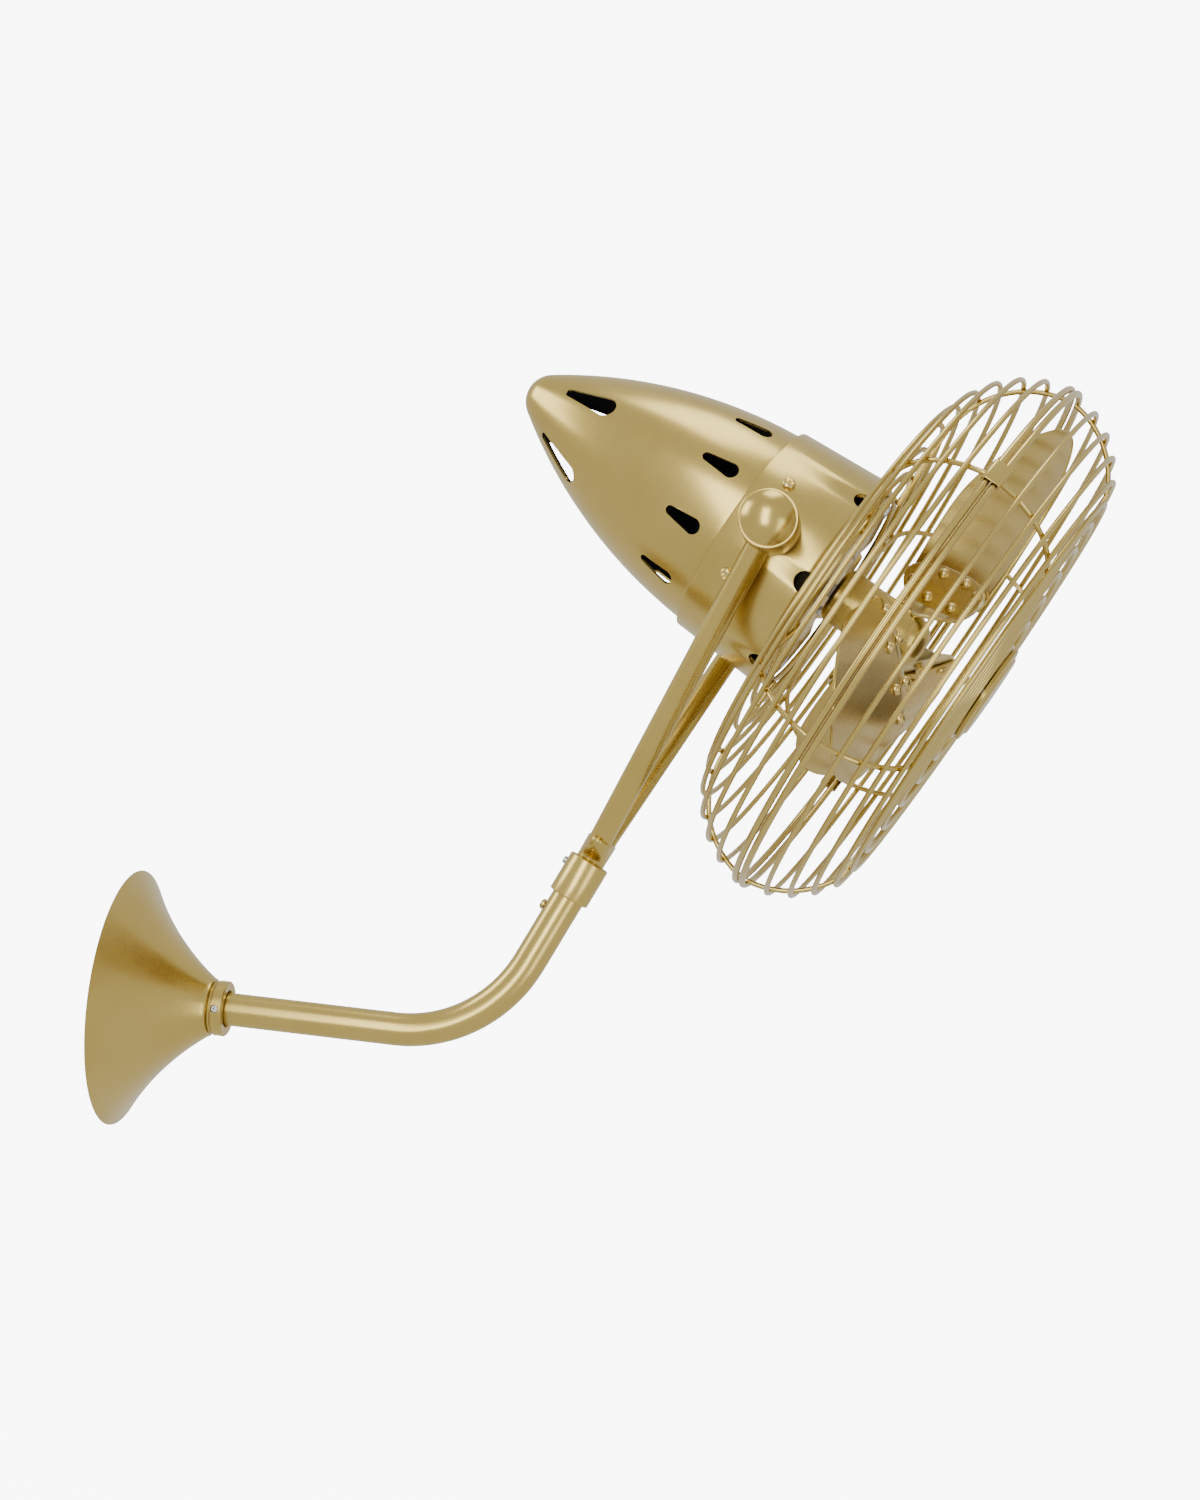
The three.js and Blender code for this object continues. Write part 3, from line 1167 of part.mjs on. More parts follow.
function guardBadge() {
  const middle = badgeBack + BADGE_THICKNESS / 2;
  const body = solid(turned([
    [0, badgeBack],
    [BADGE_RADIUS - BADGE_STEP, badgeBack],
    [BADGE_RADIUS, badgeBack + BADGE_STEP / 2],
    [BADGE_RADIUS, middle],
    [BADGE_RADIUS - BADGE_STEP, middle + BADGE_STEP / 2],
    [BADGE_RADIUS - BADGE_RIM, middle + BADGE_STEP / 2],
    [BADGE_RADIUS - BADGE_RIM - BADGE_SLOPE, badgeBack + BADGE_THICKNESS],
    [0, badgeBack + BADGE_THICKNESS],
  ], FINE));
  const screwHole = rod(BADGE_SCREW_RADIUS + CLEARANCE, badgeBack - 1, badgeBack + BADGE_SCREW_DEPTH);
  return cut(body, [solid(screwHole)]);
}

function badgeBackPlate() {
  const hole = BADGE_SCREW_RADIUS + CLEARANCE;
  return pipe(BACK_PLATE_RADIUS, hole, plateFront - BACK_PLATE_THICKNESS, plateFront);
}

function badgeScrew() {
  const seat = plateFront - BACK_PLATE_THICKNESS - CLEARANCE;
  const length = badgeBack + BADGE_SCREW_DEPTH - CLEARANCE - seat;
  const fastener = screw(BADGE_SCREW_RADIUS, length, BADGE_HEAD_RADIUS, BADGE_HEAD_HEIGHT);
  return fastener.rotateX(Math.PI).translate(0, 0, seat);
}

function guardScrew() {
  const seat = SEAM - shoulderEnd - rearFaceRise + wireReach + CLEARANCE;
  const length = seat - FRONT_FACE + FRONT_WALL - CLEARANCE;
  const fastener = screw(GUARD_SCREW_RADIUS, length, GUARD_SCREW_HEAD_RADIUS, GUARD_SCREW_HEAD_HEIGHT);
  return fastener.translate(guardScrewCircle, 0, seat);
}

// ---------------------------------------------------------------- assembly

/** A group with its own origin and a turn about Y, holding the given children. */
function frameOf(origin, turn, children) {
  const group = new THREE.Group();
  group.position.copy(origin);
  group.rotation.y = turn;
  group.add(...children);
  return group;
}

const here = new THREE.Vector3();
const sides = [['left', 1], ['right', -1]];

const ringScrew = piece('ring_set_screw', grubScrew(RING_SCREW_RADIUS, RING_SCREW_LENGTH), steel());
ringScrew.rotation.x = Math.PI / 2;
ringScrew.position.set(0, -tubeHole, ringBack + RING_LENGTH / 2);

const flangeScrews = ringOf('flange_screw', evenAngles(FLANGE_SCREWS), flangeScrew(), steel);
const wall = frameOf(here, Math.PI / 2, [
  piece('wall_plate', wallPlate(), steel()),
  frameOf(new THREE.Vector3(0, 0, flangeBack), 0, [piece('arm_flange', armFlange(), steel())]),
  frameOf(new THREE.Vector3(0, 0, armStart), 0, flangeScrews),
  piece('wall_canopy', wallCanopy(), brass()),
  frameOf(new THREE.Vector3(0, 0, ringBack), 0, [piece('canopy_ring', canopyRing(), brass())]),
  ringScrew,
]);

const collarFrame = frameOf(
  corner.clone().addScaledVector(armDirection, COLLAR_CENTRE),
  Math.PI / 2 - rad(ARM_RISE),
  [piece('coupling_collar', couplingCollar(), brass())],
);

const collarScrewLength = COLLAR_RADIUS - STEM_RADIUS + COLLAR_SCREW_PROUD;
const collarScrew = piece('collar_screw', grubScrew(COLLAR_SCREW_RADIUS, collarScrewLength), steel());
collarScrew.applyMatrix4(backOfArm(COLLAR_CENTRE + COLLAR_SCREW_HEIGHT, STEM_RADIUS + 2 * CLEARANCE));
const lockFastener = screw(LOCK_SCREW_RADIUS, LOCK_SCREW_LENGTH, LOCK_HEAD_RADIUS, LOCK_HEAD_HEIGHT);
const lockScrew = piece('arm_lock_screw', lockFastener, brass());
lockScrew.applyMatrix4(lockScrewPlace(TUBE_RADIUS + CLEARANCE));

const yoke = frameOf(pivot, Math.PI / 2 - rad(ARM_RISE), [
  piece('yoke_stem', yokeStem(), brass()),
  ...sides.flatMap(([name, side]) => [
    piece(`yoke_tube_${name}`, yokeTube(side), brass()),
    piece(`knuckle_${name}`, knuckle(side), brass()),
    piece(`knuckle_cap_${name}`, knuckleCap(side), brass()),
  ]),
]);

const rotor = [
  piece('motor_shaft', motorShaft(), steel()),
  piece('rotor_hub', hub(), brass()),
  ...ringOf('iron_screw', bladeAngles, ironScrew(), brass),
  ...bladeAngles.flatMap((angle, i) => [
    piece(`blade_iron_${i + 1}`, bladeIron(angle), brass()),
    piece(`blade_${i + 1}`, blade(angle), brass()),
  ]),
];
const hubScrew = piece('hub_set_screw', grubScrew(HUB_SCREW_RADIUS, HUB_SCREW_LENGTH), steel());
hubScrew.rotation.y = Math.PI / 2;
hubScrew.position.set(SHAFT_RADIUS + 2 * CLEARANCE, 0, hubScrewHeight);

const fanAxis = frameOf(new THREE.Vector3(HEAD_DROP, 0, 0), 0, [
  piece('rear_shell', rearShell(), brass()),
  piece('front_shell', frontShell(), brass()),
  ...ringOf('shell_screw', shellScrewAngles, shellScrew(), paleBrass),
  piece('motor_can', motorCan(), blackPaint()),
  ...ringOf('motor_screw', evenAngles(MOTOR_SCREWS, MOTOR_SCREW_START), motorScrew(), steel),
  piece('bearing_front', bearing(motorFront - BEARING_LENGTH), steel()),
  piece('bearing_rear', bearing(MOTOR_REAR), steel()),
  piece('guard_rear', guardHalf(rearRings, -1), brass()),
  piece('guard_front', guardHalf(frontRings, 1), brass()),
  ...ringOf('guard_screw', guardScrewAngles, guardScrew(), steel),
  ...CLIP_ANGLES.map((angle, i) => piece(`guard_clip_${i + 1}`, guardClip(angle), paleBrass())),
  piece('guard_badge', guardBadge(), brass()),
  piece('badge_back_plate', badgeBackPlate(), steel()),
  piece('badge_screw', badgeScrew(), steel()),
  ...rotor,
  hubScrew,
]);

const head = frameOf(pivot, rad(90 + HEAD_TILT), [
  ...sides.flatMap(([name, side]) => [
    piece(`pivot_bolt_${name}`, pivotBolt(side), steel()),
    piece(`pivot_washer_${name}`, pivotWasher(side), steel()),
    piece(`pivot_spacer_${name}`, pivotSpacer(side), brass()),
  ]),
  fanAxis,
]);

const fan = new THREE.Group();
fan.add(wall, piece('arm_tube', armTube(), brass()), collarFrame, collarScrew, lockScrew, yoke, head);

export default fan;
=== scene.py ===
"""Wall mounted fan in satin brass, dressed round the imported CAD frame.

Every piece is modelled in millimetres in the frame of the sub-assembly that carries it, with +Z along that
sub-assembly's axis, and is then placed in the row frame in metres.
"""

import json
import logging
import math
from dataclasses import dataclass, field
from enum import Enum
from typing import Callable, Iterable, Sequence

import bpy
from mathutils import Matrix, Vector

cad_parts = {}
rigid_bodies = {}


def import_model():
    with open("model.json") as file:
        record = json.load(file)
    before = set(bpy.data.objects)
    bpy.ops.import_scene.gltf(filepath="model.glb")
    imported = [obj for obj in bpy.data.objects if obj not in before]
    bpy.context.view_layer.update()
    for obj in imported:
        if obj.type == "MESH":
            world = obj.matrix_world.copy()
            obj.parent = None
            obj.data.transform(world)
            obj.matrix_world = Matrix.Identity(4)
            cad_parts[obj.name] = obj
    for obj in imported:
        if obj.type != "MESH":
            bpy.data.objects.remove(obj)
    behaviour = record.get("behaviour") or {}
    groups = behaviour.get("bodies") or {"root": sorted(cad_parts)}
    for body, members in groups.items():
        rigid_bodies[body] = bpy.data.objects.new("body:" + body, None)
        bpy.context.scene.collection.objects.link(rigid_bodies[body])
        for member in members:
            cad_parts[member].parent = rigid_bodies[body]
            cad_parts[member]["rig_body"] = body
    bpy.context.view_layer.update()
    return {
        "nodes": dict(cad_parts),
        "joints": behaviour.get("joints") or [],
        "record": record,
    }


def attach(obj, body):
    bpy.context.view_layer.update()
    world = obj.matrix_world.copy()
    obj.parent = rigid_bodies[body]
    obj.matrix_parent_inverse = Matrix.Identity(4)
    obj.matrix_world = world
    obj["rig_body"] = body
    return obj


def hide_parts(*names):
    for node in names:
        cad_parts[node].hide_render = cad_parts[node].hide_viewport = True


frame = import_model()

METRES = 0.001
TURN = 2 * math.pi
GAP = 0.3  # between two pieces that touch, as in the solids
SEAT = 0.2  # between a head or a tube and its seat
WIRE_SQUARING = 1.18  # the solids' four-sided wires reach this much further than round ones
CREASE = 32.0  # an edge that turns by more degrees stays sharp
FORMED_CREASE = 40.0  # the same for sheet and wire
PLACE_DIGITS = 6  # frames that agree to so many digits share a finish
log = logging.getLogger("wall_fan")

Point = tuple[float, float, float]
Colour = tuple[float, float, float]
Outline = Sequence[tuple[float, float]]


class Side(Enum):
    """The two sides of the fork; the value is the sign of Y."""

    LEFT = 1
    RIGHT = -1


class Brushing(Enum):
    """How the brushed lines run on a finish."""

    ROUND = "round the piece's axis"
    LOOSE = "no direction"


# ---------------------------------------------------------------- frames


@dataclass(frozen=True)
class Layout:
    """The frames of the sub-assemblies, each a matrix from its own millimetres to the row frame.

    In the wall's frame and in the fan's, -X points up, and angles start there and grow towards the near side.
    """

    arm_reach: float = 234.6
    collar_centre: float = 118.3

    def joint(self, name: str) -> dict:
        """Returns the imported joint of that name."""
        return next(joint for joint in frame["joints"] if joint["name"] == name)

    def facing(self, origin: Vector, direction: Vector) -> Matrix:
        """Builds a frame with its +Z along a direction of the XZ plane.

        Args:
            origin: the frame's origin in metres.
            direction: where its +Z points.

        Returns:
            The matrix from the frame's millimetres to the row frame.
        """
        turn = Matrix.Rotation(math.atan2(direction.x, direction.z), 4, "Y")
        return Matrix.Translation(origin) @ turn @ Matrix.Scale(METRES, 4)

    def wall(self) -> Matrix:
        """Returns the frame of what lies against the wall."""
        return self.facing(Vector(), Vector((1, 0, 0)))

    def stem_axis(self) -> Vector:
        """Returns the direction of the arm's upper run."""
        return Vector(self.joint("yoke_swivel")["axis"]).normalized()

    def collar(self) -> Matrix:
        """Returns the frame in the middle of the coupling collar."""
        corner = Vector((self.arm_reach, 0, 0)) * METRES
        return self.facing(corner + self.stem_axis() * self.collar_centre * METRES, self.stem_axis())

    def yoke(self) -> Matrix:
        """Returns the fork's frame, whose origin is on the tilt axis."""
        return self.facing(Vector(self.joint("head_tilt")["pos_m"]), self.stem_axis())

    def fan(self) -> Matrix:
        """Returns the frame of everything that is round the fan's axis."""
        spin = self.joint("fan_spin")
        return self.facing(Vector(spin["pos_m"]), Vector(spin["axis"]))

    def tilt(self) -> Matrix:
        """Returns the frame on the tilt axis that leans with the head."""
        axis = Vector(self.joint("fan_spin")["axis"])
        return self.facing(Vector(self.joint("head_tilt")["pos_m"]), axis)


# ---------------------------------------------------------------- the work bench


class Bench:
    """The modelling steps that the pieces share."""

    @staticmethod
    def pick(*pieces: bpy.types.Object) -> None:
        """Selects objects alone.

        Args:
            *pieces: the objects; the first becomes the active one.
        """
        bpy.ops.object.select_all(action="DESELECT")
        for piece in pieces:
            piece.select_set(True)
        bpy.context.view_layer.objects.active = pieces[0]

    @staticmethod
    def latest(name: str) -> bpy.types.Object:
        """Names the object that was just added.

        Args:
            name: its name, and its mesh's.

        Returns:
            The object.
        """
        piece = bpy.context.object
        piece.name = name
        piece.data.name = name
        return piece

    @classmethod
    def primitive(cls, name: str, add: Callable[..., object], **sizes: object) -> bpy.types.Object:
        """Adds a primitive with nothing else selected.

        Args:
            name: the new object's name.
            add: the operator that adds it.
            **sizes: the operator's settings.

        Returns:
            The new object.
        """
        bpy.ops.object.select_all(action="DESELECT")
        add(**sizes)
        return cls.latest(name)

    @staticmethod
    def close(merge: float = 1e-3) -> None:
        """Ends edit mode with the doubles merged and the faces turned outwards.

        Args:
            merge: how near two points are to be one.
        """
        bpy.ops.mesh.select_all(action="SELECT")
        bpy.ops.mesh.remove_doubles(threshold=merge)
        bpy.ops.mesh.normals_make_consistent(inside=False)
        bpy.ops.object.mode_set(mode="OBJECT")

    @classmethod
    def drawn(cls, name: str, points: Sequence[Point]) -> bpy.types.Object:
        """Draws a chain of edges through points and stays in edit mode.

        Args:
            name: the new object's name.
            points: where the chain goes; a chain that ends where it starts is closed.

        Returns:
            The new object, in edit mode, with all of it selected.
        """
        piece = cls.primitive(name, bpy.ops.mesh.primitive_plane_add, size=1)
        bpy.ops.object.mode_set(mode="EDIT")
        bpy.ops.mesh.select_all(action="SELECT")
        bpy.ops.mesh.merge(type="CENTER")
        bpy.ops.transform.translate(value=points[0])
        for before, after in zip(points, points[1:]):
            step = Vector(after) - Vector(before)
            bpy.ops.mesh.extrude_region_move(TRANSFORM_OT_translate={"value": step})
        bpy.ops.mesh.select_all(action="SELECT")
        bpy.ops.mesh.remove_doubles(threshold=1e-4)
        return piece

    @classmethod
    def turned(cls, name: str, outline: Outline, steps: int = 96) -> bpy.types.Object:
        """Turns an outline of (radius, height) points round +Z.

        Args:
            name: the new object's name.
            outline: points from the axis to the axis, or a closed line.
            steps: how many steps go round.

        Returns:
            The closed piece, in object mode.
        """
        piece = cls.drawn(name, [(radius, 0.0, height) for radius, height in outline])
        bpy.ops.mesh.spin(steps=steps, angle=TURN, center=(0, 0, 0), axis=(0, 0, 1))
        cls.close()
        return piece

    @classmethod
    def slab(cls, name: str, outline: Outline, depth: float) -> bpy.types.Object:
        """Fills a closed outline in the YZ plane and pulls it out along +X.

        Args:
            name: the new object's name.
            outline: (y, z) points, without repeating the first.
            depth: how far it is pulled.

        Returns:
            The closed piece, in object mode.
        """
        points = [(0.0, y, z) for y, z in outline]
        piece = cls.drawn(name, [*points, points[0]])
        bpy.ops.mesh.edge_face_add()
        bpy.ops.mesh.extrude_region_move(TRANSFORM_OT_translate={"value": (depth, 0, 0)})
        cls.close()
        return piece

    @classmethod
    def moved(cls, piece: bpy.types.Object, matrix: Matrix) -> bpy.types.Object:
        """Moves a piece's mesh and leaves its object at the origin.

        Args:
            piece: the piece.
            matrix: where it goes, from where it is.

        Returns:
            The same piece.
        """
        cls.pick(piece)
        piece.matrix_world = matrix @ piece.matrix_world
        bpy.ops.object.transform_apply(location=True, rotation=True, scale=True)
        return piece

    @staticmethod
    def aimed(place: Vector, way: Vector) -> Matrix:
        """Returns the matrix that puts +Z at a place, along a way."""
        return Matrix.Translation(place) @ way.to_track_quat("Z", "Y").to_matrix().to_4x4()

    @classmethod
    def copied(cls, piece: bpy.types.Object, name: str, matrix: Matrix) -> bpy.types.Object:
        """Copies a piece with its own mesh and moves the copy.

        Args:
            piece: what is copied.
            name: the copy's name.
            matrix: where the copy goes, from where the piece is.

        Returns:
            The copy.
        """
        twin = piece.copy()
        twin.data = piece.data.copy()
        twin.name = name
        bpy.context.scene.collection.objects.link(twin)
        return cls.moved(twin, matrix)

    @classmethod
    def ring(cls, piece: bpy.types.Object, angles: Iterable[float]) -> list[bpy.types.Object]:
        """Puts copies of a piece at angles round +Z and removes the first one.

        Args:
            piece: a piece made at angle 180, which is +X.
            angles: the copies' angles in degrees, counted from -X.

        Returns:
            The copies, in the order of the angles.
        """
        twins = [
            cls.copied(piece, f"{piece.name}_{i + 1}", Matrix.Rotation(math.radians(angle + 180), 4, "Z"))
            for i, angle in enumerate(angles)
        ]
        bpy.data.objects.remove(piece)
        return twins

    @classmethod
    def joined(cls, name: str, pieces: Sequence[bpy.types.Object]) -> bpy.types.Object:
        """Joins pieces into one.

        Args:
            name: the joined object's name.
            pieces: what is joined.

        Returns:
            The joined object.
        """
        cls.pick(*pieces)
        if len(pieces) > 1:
            bpy.ops.object.join()
        return cls.latest(name)

    @classmethod
    def apply(cls, piece: bpy.types.Object, kind: str, **settings: object) -> None:
        """Adds a modifier and applies it.

        Args:
            piece: the piece.
            kind: the modifier's type.
            **settings: its settings.
        """
        cls.pick(piece)
        modifier = piece.modifiers.new(kind.title(), kind)
        for key, value in settings.items():
            setattr(modifier, key, value)
        bpy.ops.object.modifier_apply(modifier=modifier.name)

    @classmethod
    def cut(cls, piece: bpy.types.Object, tools: Sequence[bpy.types.Object]) -> None:
        """Cuts tools out of a piece and removes them.

        Args:
            piece: what is cut.
            tools: closed solids that take away what they cover.
        """
        tool = cls.joined("cutter", tools)
        cls.apply(piece, "BOOLEAN", operation="DIFFERENCE", object=tool, solver="EXACT")
        bpy.data.objects.remove(tool)

    @classmethod
    def eased(cls, piece: bpy.types.Object, width: float, steps: int = 2, above: float = 35.0) -> None:
        """Rounds a piece's edges.

        Args:
            piece: the piece.
            width: the rounding's width.
            steps: how many faces make it.
            above: the least turn in degrees of an edge that is rounded.
        """
        cls.apply(
            piece,
            "BEVEL",
            width=width,
            segments=steps,
            limit_method="ANGLE",
            angle_limit=math.radians(above),
            use_clamp_overlap=True,
            harden_normals=False,
        )

    @classmethod
    def smoothed(cls, piece: bpy.types.Object, angle: float = CREASE) -> None:
        """Shades a piece smooth but for edges sharper than an angle in degrees."""
        cls.pick(piece)
        bpy.ops.object.shade_smooth_by_angle(angle=math.radians(angle))

    @staticmethod
    def mount(piece: bpy.types.Object, body: str, slot: str, *nodes: str) -> None:
        """Lets a finished piece ride on a body, in the place of CAD nodes.

        Args:
            piece: the finished piece.
            body: the body that it moves with.
            slot: the record's material slot; not used.
            *nodes: the CAD nodes that it stands for, if any.
        """
        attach(piece, body)
        if nodes:
            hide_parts(*nodes)
        log.info("%s rides on %s, %d faces", piece.name, body, len(piece.data.polygons))


def arc(
    centre: tuple[float, float], radius: float, start: float, end: float, steps: int
) -> list[tuple[float, float]]:
    """Points of an arc in a plane.

    Args:
        centre: the arc's centre.
        radius: its radius.
        start: the first point's angle in degrees.
        end: the last point's angle in degrees.
        steps: how many steps lie between them.

    Returns:
        The points, first and last included.
    """
    angles = [math.radians(start + (end - start) * i / steps) for i in range(steps + 1)]
    return [(centre[0] + radius * math.cos(a), centre[1] + radius * math.sin(a)) for a in angles]


# ---------------------------------------------------------------- finishes


class Recipe:
    """A material in the making, with its node tree and its shader."""

    def __init__(self, name: str, **inputs: object) -> None:
        """Starts a material with a plain shader.

        Args:
            name: the material's name.
            **inputs: values for the shader's inputs, with _ in their names for a space.
        """
        self.material = bpy.data.materials.new(name)
        self.material.use_nodes = True
        self.tree = self.material.node_tree
        self.shader = self.tree.nodes["Principled BSDF"]
        self.feed(self.shader, {key.replace("_", " "): value for key, value in inputs.items()})

    def feed(self, node: bpy.types.Node, inputs: dict[str | int, object]) -> None:
        """Sets or links a node's inputs.

        Args:
            node: the node.
            inputs: for each input, its value, or the socket that feeds it.
        """
        for key, value in inputs.items():
            if isinstance(value, bpy.types.NodeSocket):
                self.tree.links.new(value, node.inputs[key])
            else:
                node.inputs[key].default_value = value

    def node(self, kind: str, inputs: dict[str | int, object], **settings: object) -> bpy.types.NodeOutputs:
        """Adds a node.

        Args:
            kind: the node's type.
            inputs: for each input, its value, or the socket that feeds it.
            **settings: the node's own settings.

        Returns:
            The node's outputs.
        """
        node = self.tree.nodes.new(kind)
        for key, value in settings.items():
            setattr(node, key, value)
        self.feed(node, inputs)
        return node.outputs

    def ranged(self, value: bpy.types.NodeSocket, least: float, most: float) -> bpy.types.NodeSocket:
        """Stretches the middle of a noise over a range.

        Args:
            value: the noise's socket.
            least: the value for a low noise.
            most: the value for a high noise.

        Returns:
            The socket with the result.
        """
        span = {"Value": value, "From Min": 0.3, "From Max": 0.7, "To Min": least, "To Max": most}
        return self.node("ShaderNodeMapRange", span)["Result"]

    def tinted(self, share: bpy.types.NodeSocket, low: Colour, high: Colour) -> None:
        """Colours the surface between two colours.

        Args:
            share: the socket with the second colour's share.
            low: the first colour.
            high: the second colour.
        """
        mix = {"A": (*low, 1), "B": (*high, 1), "Factor": share}
        self.feed(self.shader, {"Base Color": self.node("ShaderNodeMix", mix, data_type="RGBA")["Result"]})

    def raised(self, height: bpy.types.NodeSocket, strength: float, distance: float) -> None:
        """Roughens the surface with fine bumps.

        Args:
            height: the socket with the bumps' height.
            strength: how strongly they show.
            distance: how high they are, in metres.
        """
        bump = {"Strength": strength, "Distance": distance, "Height": height}
        self.feed(self.shader, {"Normal": self.node("ShaderNodeBump", bump)["Normal"]})


@dataclass(frozen=True)
class SatinMetal:
    """A metal with fine brushed lines under a thin clear coat."""

    name: str
    colour: Colour
    deep: Colour
    roughness: float = 0.24
    roughness_swing: float = 0.03
    line_density: float = 5200.0
    line_stretch: float = 14.0
    line_share: float = 0.45
    loose_share: float = 1 / 6
    cloud_density: float = 22.0
    cloud_share: float = 0.55
    bump: float = 0.04
    bump_height: float = 0.00002
    coat: float = 0.04
    coat_roughness: float = 0.12
    brushing: Brushing = Brushing.ROUND

    def material(self, place: Matrix) -> bpy.types.Material:
        """Builds the finish for pieces that lie in one frame.

        Args:
            place: the frame whose +Z the lines run round.

        Returns:
            The material.
        """
        recipe = Recipe(self.name, Metallic=1.0, Coat_Weight=self.coat, Coat_Roughness=self.coat_roughness)
        local = self.local_point(recipe, place)
        lines = self.lines(recipe, local)
        cloud = {"Scale": self.cloud_density, "Detail": 3.0, "Vector": local}
        clouds = recipe.ranged(recipe.node("ShaderNodeTexNoise", cloud)["Fac"], 0.0, self.cloud_share)
        sums = {0: lines, 1: self.line_share, 2: clouds}
        mixed = recipe.node("ShaderNodeMath", sums, operation="MULTIPLY_ADD")
        recipe.tinted(mixed[0], self.deep, self.colour)
        least, most = self.roughness - self.roughness_swing, self.roughness + self.roughness_swing
        recipe.feed(recipe.shader, {"Roughness": recipe.ranged(lines, least, most)})
        recipe.raised(lines, self.bump, self.bump_height)
        return recipe.material

    def local_point(self, recipe: Recipe, place: Matrix) -> bpy.types.NodeSocket:
        """Adds the nodes that give a surface point in the piece's own frame.

        Args:
            recipe: the material in the making.
            place: the piece's frame.

        Returns:
            The socket with the point, in metres.
        """
        upright = place.to_3x3().normalized().transposed().to_4x4()
        mapping = {
            "Vector": recipe.node("ShaderNodeTexCoord", {})["Object"],
            "Rotation": upright.to_euler("XYZ"),
            "Location": -(upright @ place.translation),
        }
        return recipe.node("ShaderNodeMapping", mapping)["Vector"]

    def lines(self, recipe: Recipe, local: bpy.types.NodeSocket) -> bpy.types.NodeSocket:
        """Adds the nodes of the brushed lines.

        Args:
            recipe: the material in the making.
            local: the socket with the surface point.

        Returns:
            The socket with the lines' height, from 0 to 1.
        """
        if self.brushing is Brushing.LOOSE:
            grain = {"Scale": self.line_density * self.loose_share, "Detail": 2.0, "Vector": local}
            return recipe.node("ShaderNodeTexNoise", grain)["Fac"]
        stretch = {0: local, 1: (self.line_stretch, self.line_stretch, self.line_density)}
        along = recipe.node("ShaderNodeVectorMath", stretch, operation="MULTIPLY")["Vector"]
        flatten = {0: local, 1: (self.line_density, self.line_density, 0)}
        flat = recipe.node("ShaderNodeVectorMath", flatten, operation="MULTIPLY")["Vector"]
        radius = recipe.node("ShaderNodeVectorMath", {0: flat}, operation="LENGTH")["Value"]
        rings = {"Scale": 1.0, "Detail": 2.0, "Vector": along, "W": radius}
        return recipe.node("ShaderNodeTexNoise", rings, noise_dimensions="4D")["Fac"]


@dataclass(frozen=True)
class Paint:
    """A paint with a fine grain."""

    name: str
    colour: Colour
    worn: Colour
    roughness: float = 0.55
    grain: float = 900.0
    bump: float = 0.1
    bump_height: float = 0.0001

    def material(self) -> bpy.types.Material:
        """Builds the paint, whose grain has no direction.

        Returns:
            The material.
        """
        recipe = Recipe(self.name, Roughness=self.roughness)
        spread = {"Scale": self.grain, "Vector": recipe.node("ShaderNodeTexCoord", {})["Object"]}
        grain = recipe.node("ShaderNodeTexNoise", spread)["Fac"]
        recipe.tinted(grain, self.colour, self.worn)
        recipe.raised(grain, self.bump, self.bump_height)
        return recipe.material


